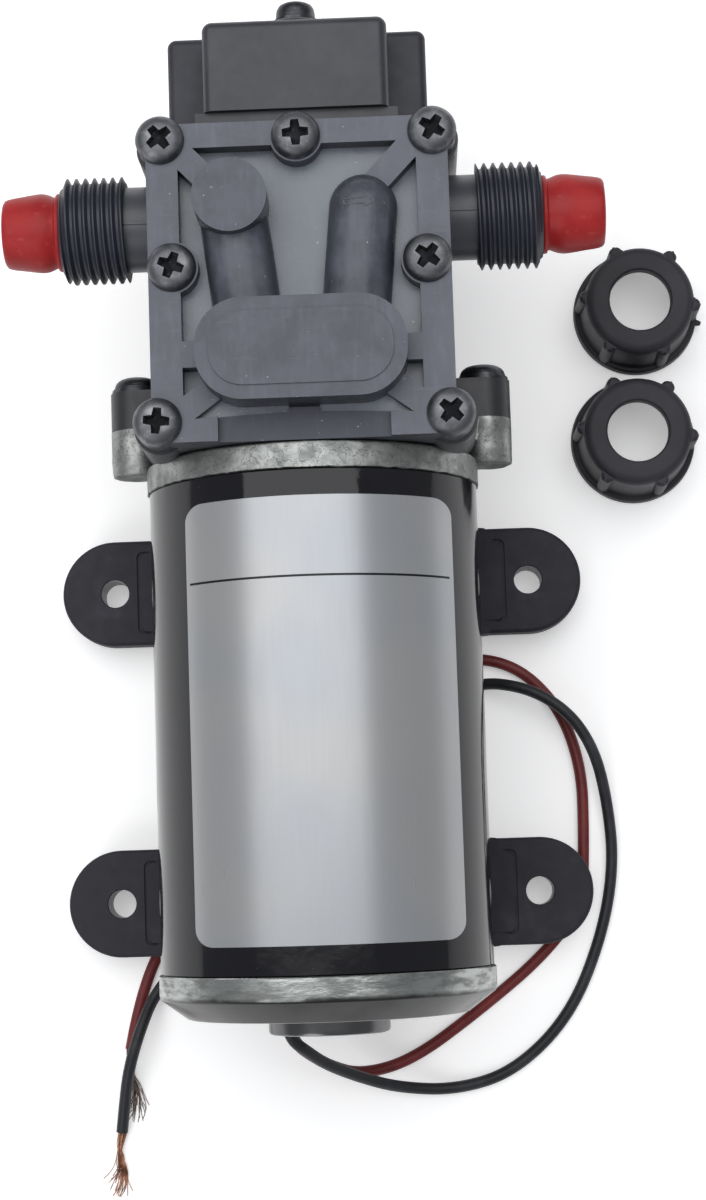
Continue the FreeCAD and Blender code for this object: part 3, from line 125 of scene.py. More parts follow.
class Finish:
    """One surface finish, with its pattern fixed to the piece."""

    def __init__(self, name, metallic=0, specular=0.5):
        self.material = bpy.data.materials.new(name)
        self.material.use_nodes = True
        self.tree = self.material.node_tree
        self.shader = self.tree.nodes["Principled BSDF"]
        self.fix("Metallic", metallic)
        self.fix("Specular IOR Level", specular)
        self.place = self.node("ShaderNodeTexCoord", output="Object")

    def node(self, kind, settings={}, inputs={}, output=0):
        made = self.tree.nodes.new(kind)
        for name, value in settings.items():
            setattr(made, name, value)
        for name, value in inputs.items():
            if isinstance(value, Shade):
                self.tree.links.new(value.socket, made.inputs[name])
            else:
                made.inputs[name].default_value = value
        return Shade(self, made.outputs[output])

    def fix(self, socket, value):
        self.shader.inputs[socket].default_value = value

    def feed(self, socket, value):
        self.tree.links.new(value.socket, self.shader.inputs[socket])

    def colour(self, share, first, second):
        self.feed("Base Color", self.mix(share, first, second))

    def stretched(self, x, y, z):
        """The piece's own coordinates, squeezed along each axis."""
        return self.node("ShaderNodeMapping", {}, {"Vector": self.place, "Scale": (x, y, z)})

    def cloud(self, grain_mm, detail=3, roughness=0.5, vector=None):
        return self.node("ShaderNodeTexNoise", {}, {
            "Vector": vector or self.place, "Scale": 1 / (grain_mm * MM),
            "Detail": detail, "Roughness": roughness})

    def along(self, axis):
        return self.node("ShaderNodeSeparateXYZ", {}, {"Vector": self.place}, axis)

    def between(self, value, low, high):
        """0 below low, 1 above high, smooth between."""
        return self.node("ShaderNodeMapRange", {"interpolation_type": "SMOOTHSTEP"},
                         {"Value": value, "From Min": low, "From Max": high})

    def patches(self, low, high, *grain, **more):
        """Soft-edged patches, where a cloud of this grain is high."""
        return self.between(self.cloud(*grain, **more), low, high)

    def near(self, value, middle, reach):
        """1 where the value is within reach of the middle one, and 0 elsewhere."""
        return value.math("COMPARE", value, middle, reach)

    def mix(self, share, first, second):
        """Between two colours, from 0 to 255 where they are plain ones."""
        first, second = (c if isinstance(c, Shade) else srgb(*c) for c in (first, second))
        return self.node("ShaderNodeMix", {"data_type": "RGBA"}, {0: share, 6: first, 7: second}, 2)

    def done(self, roughness, height, depth_mm):
        """The material, with its roughness and fine relief."""
        self.feed("Roughness", roughness)
        self.feed("Normal", self.node("ShaderNodeBump", {}, {
            "Height": height, "Strength": 1.0, "Distance": depth_mm * MM}))
        return self.material


def insulation(name, colour, worn):
    """Extruded wire cover: soft sheen, faint rubbed patches and a very fine grain."""
    skin = Finish(name, specular=0.35)
    rubbed = skin.patches(0.45, 0.75, 7, 4)
    skin.colour(rubbed, colour, worn)
    return skin.done(0.36 + 0.2 * skin.cloud(1.5, 2), skin.cloud(0.35, 2), 0.02)


def round_wire(name, width, sides, steps, material):
    """Curve with a round section and no splines yet."""
    curve = bpy.data.curves.new(name, "CURVE")
    curve.dimensions = "3D"
    curve.bevel_depth = width / 2 * MM
    curve.bevel_resolution = sides
    curve.resolution_u = steps
    curve.use_fill_caps = True
    curve.materials.append(material)
    return curve


def run_wire(curve, points):
    """Adds one smooth spline that has the given points as its control points."""
    spline = curve.splines.new("NURBS")
    spline.points.add(len(points) - 1)
    for point, place in zip(spline.points, points):
        point.co = (*(c * MM for c in place), 1)
    spline.order_u = 3
    spline.use_endpoint_u = True


def lead(shade, route, colour, worn):
    """One insulated wire along its route."""
    cover = shade + "_insulation"
    curve = round_wire(shade + "_wire", lead_diameter, 6, 12, insulation(cover, colour, worn))
    run_wire(curve, route)
    wire = shown(shade + "_wire", curve)
    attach(wire, "pump")
    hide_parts(shade + "_lead")
    return wire


black_wire = lead("black", black_route, (34, 35, 39), (52, 53, 57))
red_wire = lead("red", red_route, (104, 36, 37), (126, 52, 50))


# Stripped ends: three dozen fine copper strands on each lead, untwisted and bent about.
# They run on inside the insulation and lie on the floor at their tips.

strand_count = 36
strand_width = 0.16
strand_spread = 2.4
strand_waves = 5
strand_shortest = 0.66
strand_drift = 0.55
bundle_radius = 1.05


def copper_strands(name, bright, tarnished):
    """Bare copper, dull brown where it has been handled and bright where it hasn't."""
    skin = Finish(name, metallic=1)
    dull = skin.patches(0.35, 0.7, 1.6, 3)
    skin.colour(dull, bright, tarnished)
    return skin.done(0.28 + 0.25 * dull, skin.cloud(0.1, 1), 0.004)


def as_drawn(thing):
    """The mesh that an object has with its modifiers. The object itself goes."""
    mesh = bpy.data.meshes.new_from_object(thing.evaluated_get(bpy.context.evaluated_depsgraph_get()))
    bpy.data.objects.remove(thing)
    return mesh


def frayed_end(name, route, tip, seed, material):
    """One mesh of thin round strands that leave the lead's end and wander towards a tip."""
    chance = random.Random(seed)
    end = Vector(route[-1])
    heading = (end - Vector(route[-2])).normalized()
    reach = Vector(tip) - end
    side = heading.cross(Vector((0, 0, 1))).normalized()
    curve = round_wire(name, strand_width, 1, 4, material)
    for _ in range(strand_count):
        angle = chance.uniform(0, 2 * pi)
        ring = chance.uniform(0.1, bundle_radius)
        aside = side * ring * cos(angle)
        start = end + aside + Vector((0, 0, ring * sin(angle)))
        share = chance.uniform(strand_shortest, 1)
        drift = chance.gauss(0, strand_spread * strand_drift)
        points = []
        for i in range(strand_waves + 2):
            t = i / (strand_waves + 1)
            at = start + heading * (0.6 * min(i, 1)) + reach * (t * share)
            wander = 0.35 * strand_spread * t
            at += side * (drift * t * t + chance.gauss(0, wander * 0.5) + 0.5 * sin(2 * pi * t))
            at -= aside * 0.6 * min(1, 3 * t)
            at.z = max(strand_width, start.z * (1 - t) + abs(chance.gauss(0, wander * 0.35)) * (1 - t))
            points.append(at)
        run_wire(curve, points)
    strands = shown(name, as_drawn(shown(name, curve)))
    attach(strands, "pump")
    return strands


bare_copper = copper_strands("bare_copper", (210, 160, 132), (124, 82, 62))
brown_copper = copper_strands("brown_copper", (158, 142, 132), (86, 72, 66))
for shade, wire, route, length, tip, seed, copper in (
        ("black", black_wire, black_route, black_length, (-47.4, -95.6, 0.4), 4, bare_copper),
        ("red", red_wire, red_route, red_length, (-43, -80, 0.4), 9, brown_copper)):
    strands = frayed_end(shade + "_strands", route, tip, seed, copper)
    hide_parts(shade + "_lead_strands")
    tuple(c * MM for c in route[0])


# Grommet: oval black rubber bush pushed into the rear cap, with a soft lip round each lead.
# The face of the cap that it stands on lies across the motor.

cap_face_y = -56.4
grommet_centre = (-9.4, 23)


def rect(x0, y0, x1, y1):
    """Corners of a rectangle."""
    return [(x0, y0), (x1, y0), (x1, y1), (x0, y1)]


def filleted(corners, radius, steps=6):
    """Closed outline with rounded corners, by one radius or by one for each corner."""
    outline = []
    for i in range(len(corners)):
        r = radius[i] if isinstance(radius, list) else radius
        corner, before, after = (Vector(corners[k % len(corners)]) for k in (i, i - 1, i + 1))
        back, ahead = (before - corner).normalized(), (after - corner).normalized()
        half = back.angle(ahead) / 2
        centre = corner + (back + ahead).normalized() * (r / sin(half))
        start, end = (corner + way * (r / tan(half)) - centre for way in (back, ahead))
        outline += [centre + start.lerp(end, k / steps).normalized() * r for k in range(steps + 1)]
    return outline


def round_loop(bm, loop, reach, steps=3):
    """Rounds the closed run of edges through these points."""
    edges = [bm.edges.get(pair) for pair in zip(loop, loop[1:] + loop[:1])]
    bmesh.ops.bevel(bm, geom=edges, offset=reach, segments=steps, profile=0.5, affect="EDGES", material=-1)


def wall(bm, first, second):
    """Band of faces between two closed runs of as many points."""
    for i, point in enumerate(first):
        j = (i + 1) % len(first)
        bm.faces.new((point, first[j], second[j], second[i]))


def slab(bm, outline, z0, z1, edge=0.3, under=0, steps=3):
    """Upright block over an outline, with its upper and lower edges rounded."""
    low = [bm.verts.new((p[0], p[1], z0)) for p in outline]
    high = [bm.verts.new((p[0], p[1], z1)) for p in outline]
    bm.faces.new(low[::-1])
    bm.faces.new(high)
    wall(bm, low, high)
    for loop, reach in ((high, edge), (low, under)):
        if reach:
            round_loop(bm, loop, reach, steps)
    return bm


def turn(bm, profile, centre=(0, 0, 0), along="y", steps=96, closed=True):
    """Solid of revolution about an axis, from (radius, along) corners."""
    axis = Vector([name == along for name in "xyz"])
    out = Vector((1, 0, 0)) if along == "z" else Vector((0, 0, 1))
    middle = Vector(centre)
    verts = [bm.verts.new(middle + out * r + axis * a) for r, a in profile]
    ends = verts[1:] + verts[:1] if closed else verts[1:]
    edges = [bm.edges.new(pair) for pair in zip(verts, ends)]
    bmesh.ops.spin(bm, geom=verts + edges, cent=middle, axis=axis, angle=2 * pi,
                   steps=steps, use_merge=True)
    return bm


def put(x=0, y=0, z=0, degrees=0, axis="Z", side=1):
    """Place for a copy: moved, turned about an axis and, for side -1, mirrored."""
    return (Matrix.Translation((x, y, z)) @ Matrix.Rotation(radians(degrees), 4, axis)
            @ Matrix.Scale(side, 4, (1, 0, 0)))


def stamp(bm, shape, matrix=Matrix(), finish=None):
    """Adds a copy of a shape, at its place and with its finish."""
    mesh = bpy.data.meshes.new("stamp")
    for face in shape.faces if finish is not None else ():
        face.material_index = finish
    shape.to_mesh(mesh)
    mesh.transform(matrix)
    bm.from_mesh(mesh)
    bpy.data.meshes.remove(mesh)
    return bm


def joined(bm):
    """Welds the points that coincide and turns all faces outwards."""
    bmesh.ops.remove_doubles(bm, verts=bm.verts, dist=0.0005)
    bmesh.ops.recalc_face_normals(bm, faces=bm.faces)


def second_finish(bm, test):
    """Gives the second finish to the faces whose middles pass a test."""
    for face in bm.faces:
        face.material_index = int(test(face.calc_center_median()))


def piece(name, bm, materials, node=None, body="pump", sharp=35):
    """Turns a shape in millimetres into an object that stands for one node."""
    joined(bm)
    bmesh.ops.scale(bm, vec=(MM, MM, MM), verts=bm.verts)
    for face in bm.faces:
        face.smooth = True
    for edge in bm.edges:
        edge.smooth = edge.calc_face_angle(0) < radians(sharp)
    mesh = bpy.data.meshes.new(name)
    bm.to_mesh(mesh)
    bm.free()
    for material in materials:
        mesh.materials.append(material)
    made = shown(name, mesh)
    made.modifiers.new("even_shading", "WEIGHTED_NORMAL").keep_sharp = True
    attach(made, body)
    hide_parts(node or name)
    return made


def soft_rubber():
    """Matt moulded rubber with a fine grain and a little grey dust."""
    skin = Finish("black_rubber", specular=0.35)
    dust = skin.patches(0.48, 0.78, 9, 5, 0.6)
    skin.colour(dust, (34, 33, 41), (49, 48, 57))
    return skin.done(0.5 + 0.2 * skin.cloud(3, 3), skin.cloud(0.3, 3), 0.02)


black_rubber = soft_rubber()
shape = slab(bmesh.new(), filleted(rect(-2.55, -4.55, 2.55, 4.55), 2.5), 0, 1.2, edge=0.45)
for lead_z in (-2, 2):
    turn(shape, [(1.27, 0.9), (1.27, 1.1), (1.5, 1.32), (1.9, 1.2), (2, 0.9)], (0, lead_z, 0), "z", 40)
grommet = stamp(bmesh.new(), shape, put(grommet_centre[0], cap_face_y, grommet_centre[1], 90, "X"))
piece("grommet", grommet, [black_rubber], "lead_grommet")


# Base bracket: pressed steel plate, zinc plated and spot-welded under the can.
# Its four tongues are inside the rubber feet.

spangle_width = 2.2


def dress(material, *nodes):
    """Gives nodes that keep their own shape a material."""
    for node in nodes:
        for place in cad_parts[node].material_slots:
            place.material = material


def zinc_plating():
    """Passivated zinc on cold-rolled steel: small bright spangles and dull patches."""
    skin = Finish("zinc_plating", metallic=1)
    spangle = skin.node("ShaderNodeTexVoronoi", {}, {"Vector": skin.place, "Scale": 1 / (spangle_width * MM)})
    patches = skin.patches(0.4, 0.7, 12, 4)
    tone = skin.mix(spangle, (176, 178, 176), (150, 153, 152))
    skin.colour(patches * 0.5, tone, (112, 114, 112))
    return skin.done(0.3 + 0.2 * patches, skin.cloud(0.5, 3), 0.008)


dress(zinc_plating(), "base_bracket")


# Rubber feet: flat boots slipped over the bracket's tongues, half round outside.
# Each has a thicker sleeve next to the motor, a round pad below and a hole with a pale grey wall.

hole_x = 44.7
hole_y = 33.4
hole_radius = 3
foot_half_width = 11.4
foot_underside = 4.3
foot_top = 9.6
foot_reach = 11.5
sleeve_start = -5.6
sleeve_half_width = 8.5
sleeve_top = 10
sleeve_depth = 0.05
collar_start = -8.8
groove_corners = [(-7.4, -9), (-4.8, -9), (-4.8, 9), (-7.4, 9), (-7.4, 8.5), (-5.55, 8.5),
                  (-5.55, -8.5), (-7.4, -8.5)]
pad_radius = 5.8


def circle(radius, steps=72, centre=(0, 0)):
    """Round outline."""
    turns = [2 * pi * i / steps for i in range(steps)]
    return [(centre[0] + radius * cos(a), centre[1] + radius * sin(a)) for a in turns]


def foot_outline():
    """Half round away from the motor and square towards it."""
    outline = []
    for x, y in circle(1):
        reach = foot_half_width if x >= 0 else min(foot_half_width / max(abs(y), 0.01), foot_reach / -x)
        outline.append((x * reach, y * reach))
    return outline


def collar(bm, outer, inner, z0, z1, outer_edge=0.3, inner_edge=0.2, ceiling=None):
    """Block between two outlines of as many points. With a ceiling it is a cup, open below."""
    rings = ((outer, z0), (outer, z1), (inner, z1 if ceiling is None else ceiling), (inner, z0))
    foot, top, inner_top, inner_foot = ([bm.verts.new((p[0], p[1], z)) for p in ring] for ring, z in rings)
    wall(bm, foot, top)
    wall(bm, inner_top, inner_foot)
    wall(bm, inner_foot, foot)
    if ceiling is None:
        wall(bm, top, inner_top)
        if inner_edge:
            round_loop(bm, inner_top, inner_edge)
    else:
        bm.faces.new(top)
        bm.faces.new(inner_top[::-1])
    if outer_edge:
        round_loop(bm, top, outer_edge)
    return bm


def carve(shape, tool, operation="DIFFERENCE"):
    """One closed shape with another taken out of it, or with another grown into it."""
    things = []
    for bm in (shape, tool):
        joined(bm)
        mesh = bpy.data.meshes.new("carved")
        bm.to_mesh(mesh)
        bm.free()
        things.append(shown("carved", mesh))
    cut = things[0].modifiers.new("cut", "BOOLEAN")
    cut.object = things[1]
    cut.operation = operation
    cut.solver = "EXACT"
    mesh = as_drawn(things[0])
    bpy.data.objects.remove(things[1])
    left = bmesh.new()
    left.from_mesh(mesh)
    bpy.data.meshes.remove(mesh)
    return left


def pale_hole_wall():
    """Pale grey wall of the hole, with faint streaks."""
    skin = Finish("pale_hole_wall")
    streaks = skin.patches(0.35, 0.7, 0.8, 2, vector=skin.stretched(1, 1, 0.15))
    skin.colour(streaks, (150, 150, 152), (186, 186, 188))
    return skin.done(0.4 + 0.2 * streaks, streaks, 0.01)


shape = carve(
    collar(bmesh.new(), foot_outline(), circle(hole_radius), foot_underside, foot_top, 0.9, 0.25),
    slab(bmesh.new(), filleted(groove_corners, [0.2, 1.4, 1.4, 0.2, 0.2, 0.9, 0.9, 0.2]),
         foot_top - 0.5, foot_top + 1, 0))
collar(shape, circle(pad_radius), circle(hole_radius + 0.01), 0, foot_underside + 0.2, 0, 0)
slab(shape, filleted([(-foot_reach, -foot_half_width - 0.3), (collar_start, -foot_half_width - sleeve_depth),
                      (collar_start, foot_half_width + sleeve_depth), (-foot_reach, foot_half_width + 0.3)],
                     0.3), foot_underside + sleeve_depth, foot_top + 0.25, edge=0.25)
slab(shape, filleted(rect(-foot_reach, -sleeve_half_width, sleeve_start, sleeve_half_width),
                     [0.6, 0.9, 0.9, 0.6]), foot_underside + sleeve_depth, sleeve_top, edge=0.35)
second_finish(shape, lambda at: at.xy.length < hole_radius + 0.02 and at.z < foot_top - 0.3)
pale_wall = pale_hole_wall()
for name, side_x, side_y in (("foot_front_left", -1, 1), ("foot_front_right", 1, 1),
                             ("foot_rear_left", -1, -1), ("foot_rear_right", 1, -1)):
    foot = stamp(bmesh.new(), shape, put(side_x * hole_x, side_y * hole_y, side=side_x))
    piece(name, foot, [black_rubber, pale_wall])


# Motor can: deep-drawn steel tube in gloss black enamel, open at both ends.
# The enamel has a faint orange-peel skin and a few small runs near the head.

motor_axis_z = 41
can_radius = 33.4
can_edge_radius = 33.1
can_bore = 31.4
can_rear_y = -47.5
can_front_y = 49.2


def gloss_enamel():
    """Baked black enamel: mirror-like, with orange peel and fine dust specks."""
    skin = Finish("gloss_enamel", specular=0.34)
    haze = skin.patches(0.45, 0.8, 16, 4)
    specks = skin.patches(0.79, 0.82, 0.7, 1)
    tone = skin.mix(haze * 0.5, (15, 15, 20), (28, 28, 34))
    skin.colour(specks * 0.5, tone, (84, 86, 90))
    runs = skin.between(skin.along(1), 0.043, 0.049) * skin.cloud(3.5, 2)
    return skin.done(0.07 + 0.14 * haze, skin.cloud(2.2, 2) + 5 * runs, 0.012)


motor_centre = (0, 0, motor_axis_z)
can = turn(bmesh.new(), [(can_bore, can_rear_y), (can_edge_radius, can_rear_y), (can_radius, can_rear_y + 0.3),
                         (can_radius, can_front_y - 0.3), (can_edge_radius, can_front_y),
                         (can_bore, can_front_y)], motor_centre, "y", 192)
piece("motor_can", can, [gloss_enamel()])


# Label: self-adhesive satin foil round the top of the can, with rounded corners.
# It is left blank apart from one thin ruled line under its heading's place.

label_radius = 33.43
label_thickness = 0.2
label_x = (-24.4, 27.7)
label_y = (-41.7, 43.9)
label_corner = 3.5
label_x_steps = 64
label_y_steps = 30
label_corner_steps = 8
rule_y = 28.4


def satin_foil():
    """Brushed aluminium foil under a clear film, with printed hairlines."""
    skin = Finish("satin_foil", metallic=0.55, specular=0.4)
    brushed = skin.cloud(0.5, 3, vector=skin.stretched(1, 0.04, 1))
    clouded = skin.patches(0.35, 0.7, 30, 1)
    tone = skin.mix(clouded, (160, 163, 167), (169, 168, 167))
    tone = skin.mix(brushed * 0.3, tone, (146, 149, 153))
    inside = skin.between(skin.along(0), -0.0238, -0.0236) * (1 - skin.between(skin.along(0), 0.0268, 0.027))
    rule = skin.near(skin.along(1), rule_y * MM, 0.22 * MM)
    skin.colour(rule * inside, tone, (30, 31, 34))
    return skin.done(0.25 + 0.1 * brushed, brushed, 0.002)


label = bmesh.new()
corner_rows = [label_corner * (1 - cos(pi / 2 * i / label_corner_steps)) for i in range(label_corner_steps)]
straight = label_y[1] - label_y[0] - 2 * label_corner
label_rows = [label_y[0] + s for s in corner_rows]
label_rows += [label_y[0] + label_corner + straight * i / label_y_steps for i in range(label_y_steps + 1)]
label_rows += [label_y[1] - s for s in reversed(corner_rows)]
outer = label_radius + label_thickness
sheet = []
for y in label_rows:
    depth = max(0, label_corner - (y - label_y[0]), label_corner - (label_y[1] - y))
    inset = label_corner - sqrt(max(0, label_corner ** 2 - depth ** 2))
    low, high = label_x[0] + inset, label_x[1] - inset
    across = [low + (high - low) * i / label_x_steps for i in range(label_x_steps + 1)]
    sheet.append([label.verts.new((x, y, motor_axis_z + sqrt(outer ** 2 - x ** 2))) for x in across])
for lower, upper in zip(sheet, sheet[1:]):
    for i in range(label_x_steps):
        label.faces.new((lower[i], lower[i + 1], upper[i + 1], upper[i]))
bmesh.ops.recalc_face_normals(label, faces=label.faces)
bmesh.ops.solidify(label, geom=label.faces[:], thickness=label_thickness)
piece("motor_label", label, [satin_foil()])


# Front bracket of the motor: rough zinc casting with a ragged lower edge on its rim.
# Two ears stand out at its sides and carry the head's long screws.

rim_radius = 33.8
rim_front_y = 54.4
hub_front_y = 62.9
ear_x = 35.5
ear_radius = 5.5
ear_rear_y = 53.5
ear_web_y = 60.9
rim_roughness = 0.16
rim_seed = 1
hub_bore = 11
hub_radius = 17
ear_half_height = 5.3


def cast_zinc():
    """Raw die casting: satin skin with soft blotches and fine curled flow wrinkles."""
    skin = Finish("cast_zinc", metallic=1)
    blotches = skin.patches(0.36, 0.68, 4, 4, 0.6)
    flow = skin.cloud(3.2, 3, 0.55)
    wrinkles = skin.near(flow, 0.5, 0.009)
    folds = skin.near(flow, 0.58, 0.006)
    tone = skin.mix(blotches, (156, 158, 156), (126, 129, 127))
    skin.colour((wrinkles + folds) * 0.5, tone, (78, 80, 78))
    return skin.done(0.42 + 0.14 * blotches, flow * 0.5 + skin.cloud(0.7, 3) * 0.35 - wrinkles * 0.2, 0.1)


def roughen(verts, reach, grain, shift=0):
    """Moves points a little, as on a raw casting."""
    for vert in verts:
        vert.co += noise.noise_vector(vert.co / grain + Vector((shift, 0, 0))) * reach


rim_steps = [can_front_y + 0.15 + 0.5 * i for i in range(10)]
bracket = turn(bmesh.new(), [
    (can_bore, 46.2), (28.4, 46.2), (28.4, can_front_y), (hub_bore, can_front_y),
    (hub_bore, rim_front_y), (33.3, rim_front_y), (33.65, rim_front_y - 0.12), (rim_radius, rim_front_y - 0.4)]
    + [(rim_radius, y) for y in reversed(rim_steps)] + [(33.5, can_front_y), (can_bore, can_front_y)],
    motor_centre, "y", 240)
joined(bracket)
noise.seed_set(rim_seed)
for vert in bracket.verts:
    if vert.co.y > can_front_y - 0.1 and (vert.co - Vector((0, vert.co.y, motor_axis_z))).length > 33:
        low_edge = max(0, 1 - (vert.co.y - can_front_y) / 0.6)
        roughen([vert], rim_roughness * (0.5 + low_edge), 1.7)
turn(bracket, [(hub_bore, rim_front_y - 0.2), (hub_radius, rim_front_y - 0.2), (hub_radius, hub_front_y),
               (hub_bore, hub_front_y)], motor_centre, "y", 72)
for side in (-1, 1):
    ear = turn(bmesh.new(), [
        (0, ear_rear_y), (ear_radius - 0.8, ear_rear_y), (ear_radius - 0.2, ear_rear_y + 0.25),
        (ear_radius, ear_rear_y + 0.9), (ear_radius, hub_front_y), (0, hub_front_y)],
        (side * ear_x, 0, motor_axis_z), "y", 48, closed=False)
    bmesh.ops.subdivide_edges(ear, edges=[e for e in ear.edges if e.calc_length() > 4], cuts=6)
    joined(ear)
    roughen(ear.verts, 0.12, 2, side * 9)
    stamp(bracket, ear)
    web = slab(bmesh.new(), filleted(
        [(10, ear_web_y - 0.6), (ear_x - 5.6, ear_web_y - 0.6), (ear_x - 4.2, ear_web_y - 2.6),
         (ear_x, ear_web_y - 2.8), (ear_x, hub_front_y - 0.05), (10, hub_front_y - 0.05)],
        [0.2, 1.2, 1.2, 0.2, 0.2, 0.2]),
        -ear_half_height, ear_half_height, edge=0.4, under=0.4)
    slab(web, filleted(rect(10, rim_front_y - 0.1, ear_x - 2, ear_web_y), 0.3), -5.2, 2.4, edge=0.5, under=0.5)
    stamp(bracket, web, put(0, 0, motor_axis_z, side=side))
piece("front_bracket", bracket, [cast_zinc()])


# Rear cap of the motor: zinc casting, raw on its rim and machined on its cone.
# A round boss in its middle holds the rear bush.

cap_machined_y = -51.4


def machined_cap():
    """Raw casting on the rim and a turned, slightly stained surface on the cone and boss."""
    skin = Finish("machined_cap", metallic=1)
    edge = skin.along(1) + 0.0014 * skin.cloud(6, 3)
    raw = skin.between(edge, (cap_machined_y - 0.1) * MM, (cap_machined_y + 0.9) * MM)
    blotches = skin.patches(0.4, 0.64, 2.6, 5, 0.65, skin.stretched(0.3, 1, 0.3))
    stains = skin.patches(0.4, 0.72, 11, 4)
    turned = skin.cloud(0.5, 2, vector=skin.stretched(0.05, 1, 0.05))
    rough_tone = skin.mix(blotches, (180, 183, 181), (126, 129, 127))
    rough_tone = skin.mix(turned * 0.4, rough_tone, (96, 98, 96))
    smooth_tone = skin.mix(stains, (69, 69, 69), (56, 56, 56))
    boss = skin.between(skin.along(1), (cap_face_y + 0.1) * MM, (cap_face_y - 0.1) * MM)
    smooth_tone = skin.mix(boss, smooth_tone, (100, 100, 101))
    skin.colour(raw, smooth_tone, rough_tone)
    return skin.done(0.22 + 0.26 * blotches * raw + 0.06 * turned, blotches * raw + turned * 0.12, 0.06)


cap = turn(bmesh.new(), [
    (0, -60), (11.5, -60), (12, -59.8), (12.2, -59.3), (12.2, -56.4), (27.7, -56.4),
    (28.3, -56.25), (33.4, -52.5), (33.7, -52.1), (33.8, -51.6), (33.8, -47.7), (33.6, can_rear_y),
    (29.4, can_rear_y), (29.4, -53), (8, -53), (8, -59), (0, -59)],
    motor_centre, "y", 192, closed=False)
piece("rear_cap", cap, [machined_cap()])


# Crankcase, valve body and pressure switch housing: black glass-filled mouldings.
# The first two are clamped in one stack by the cover screws, with the switch at its end.

def moulded(name, colour, scuffed, roughness=0.42, grain_mm=0.5, specular=0.5):
    """Glass-filled nylon: even, with flow marks, pale scuffs and a fine grain."""
    skin = Finish(name, specular=specular)
    flow = skin.patches(0.35, 0.75, 15, 3)
    scuffs = skin.patches(0.72, 0.8, 1.3, 3)
    tone = skin.mix(flow * 0.4, colour, scuffed)
    skin.colour(scuffs * 0.6, tone, scuffed)
    return skin.done(roughness - 0.08 + 0.18 * skin.cloud(2.5, 3), skin.cloud(grain_mm, 3), 0.02)


def ease_edges(bm, width, steps, above=-inf):
    """Rounds the sharp edges of a solid that lie above a height."""
    bmesh.ops.dissolve_limit(bm, angle_limit=radians(1), verts=bm.verts, edges=bm.edges)
    sharp = [e for e in bm.edges if e.is_manifold and e.calc_face_angle() > radians(40)
             and min(v.co.z for v in e.verts) > above]
    bmesh.ops.bevel(bm, geom=sharp, offset=width, segments=steps, profile=0.5, affect="EDGES",
                    clamp_overlap=True, material=-1)


def softened(name, width, material):
    """The node's own solid with its sharp edges rounded over."""
    bm = bmesh.new()
    bm.from_mesh(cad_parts[name].data)
    bmesh.ops.scale(bm, vec=(1 / MM, 1 / MM, 1 / MM), verts=bm.verts)
    bmesh.ops.remove_doubles(bm, verts=bm.verts, dist=0.001)
    ease_edges(bm, width, 2)
    return piece(name, bm, [material])


housing_block_x = 18.4
softened("crankcase", 0.35, moulded("case_nylon", (33, 34, 38), (57, 58, 63)))
softened("valve_body", 0.25, moulded("black_nylon", (40, 41, 46), (70, 71, 77)))
housing = softened("switch_housing", 0.45, moulded("dark_nylon", (42, 43, 49), (66, 68, 75)))
# The side lobes get a slightly darker, less glossy copy of the housing's nylon, which is painted shade.
housing.data.materials.append(moulded("lobe_nylon_painted_shade", (40, 41, 48), (62, 63, 72), 0.46, 0.5, 0.35))
for face in housing.data.polygons:
    face.material_index = 1 if abs(face.center.x) > housing_block_x * MM else 0


# Valve cover: dark grey moulding with a sunk field, flush ribs, two slanted passages
# that end in a disc and in a dome, and an oblong chamber over the valves.

cover_half_x = 29.3
cover_y = (54.6, 117.2)
cover_bottom_z = 69.5
field_z = 72
rim_top_z = 76
rim_inner_x = 23.1
rim_inner_y = (58.9, 112.3)
toe_arch = 1.1
toe_strip_half_x = 16.6
toe_strip_z = 74.6
tab_z = toe_strip_z - 0.5
tab_half_x = 3.05
low_pocket_z = tab_z - 0.2
chamber_y = 71.2
chamber_half = (20.3, 9.85)
chamber_corner = 9.2
chamber_wall = 2.2
chamber_top_z = 82.7
panel_inset = 2.7
lug_radius = 4.6
boss_radius = 5.15
panel_step = 0.35
tube_radius = 6.65
tube_axis_z = 73.4
tube_foot_y = 80
disc_centre = (-12.9, 101.1)
disc_radius = 7.2
dome_centre = (12.6, 99.6)
tube_feet = (-9.9, 10.3)
arrow = [(9, 100.2), (12.8, 100.2), (12.8, 100.7), (14.9, 99.5), (13, 98.5), (13, 99.1), (9, 99.1)]
corner_lugs = [(-26.4, 114), (26.4, 114), (-28.2, 58.6), (28.2, 58.6)]
mid_bosses = [(0, 114), (-24.7, 88.8), (24.7, 88.8)]


def oblong(half_x, half_y, radius, y):
    """Rectangle with rounded corners on the cover's middle line."""
    return filleted(rect(-half_x, y - half_y, half_x, y + half_y), radius, 12)


def chamber(inset):
    """Outline of the oblong chamber, drawn in by an inset."""
    return oblong(chamber_half[0] - inset, chamber_half[1] - inset, chamber_corner - inset, chamber_y)


def rib(bm, start, end, half_width, z0, z1, edge=0):
    """Straight bar between two points of the plan."""
    run = Vector(end) - Vector(start)
    side = Vector((-run.y, run.x)).normalized() * half_width
    corners = [Vector(start) - side, Vector(end) - side, Vector(end) + side, Vector(start) + side]
    return slab(bm, filleted(corners, 0.15, 2), z0, z1, edge, steps=2)


def raised_tube(bm, head, foot_x, domed):
    """Half-round passage that stands on the field, from a foot under the chamber."""
    foot = Vector((foot_x, tube_foot_y - 4, tube_axis_z))
    run = Vector((head[0], head[1], tube_axis_z)) - foot
    profile = [(0, 0), (tube_radius, 0), (tube_radius, run.length)]
    if domed:
        profile += [(tube_radius * cos(a), run.length + tube_radius * sin(a))
                    for a in (pi / 2 * i / 12 for i in range(1, 12))]
    profile.append((0, run.length + tube_radius * domed))
    shape = turn(bmesh.new(), profile, steps=72, closed=False)
    stamp(bm, shape, put(*foot, degrees(atan2(-run.x, run.y))))


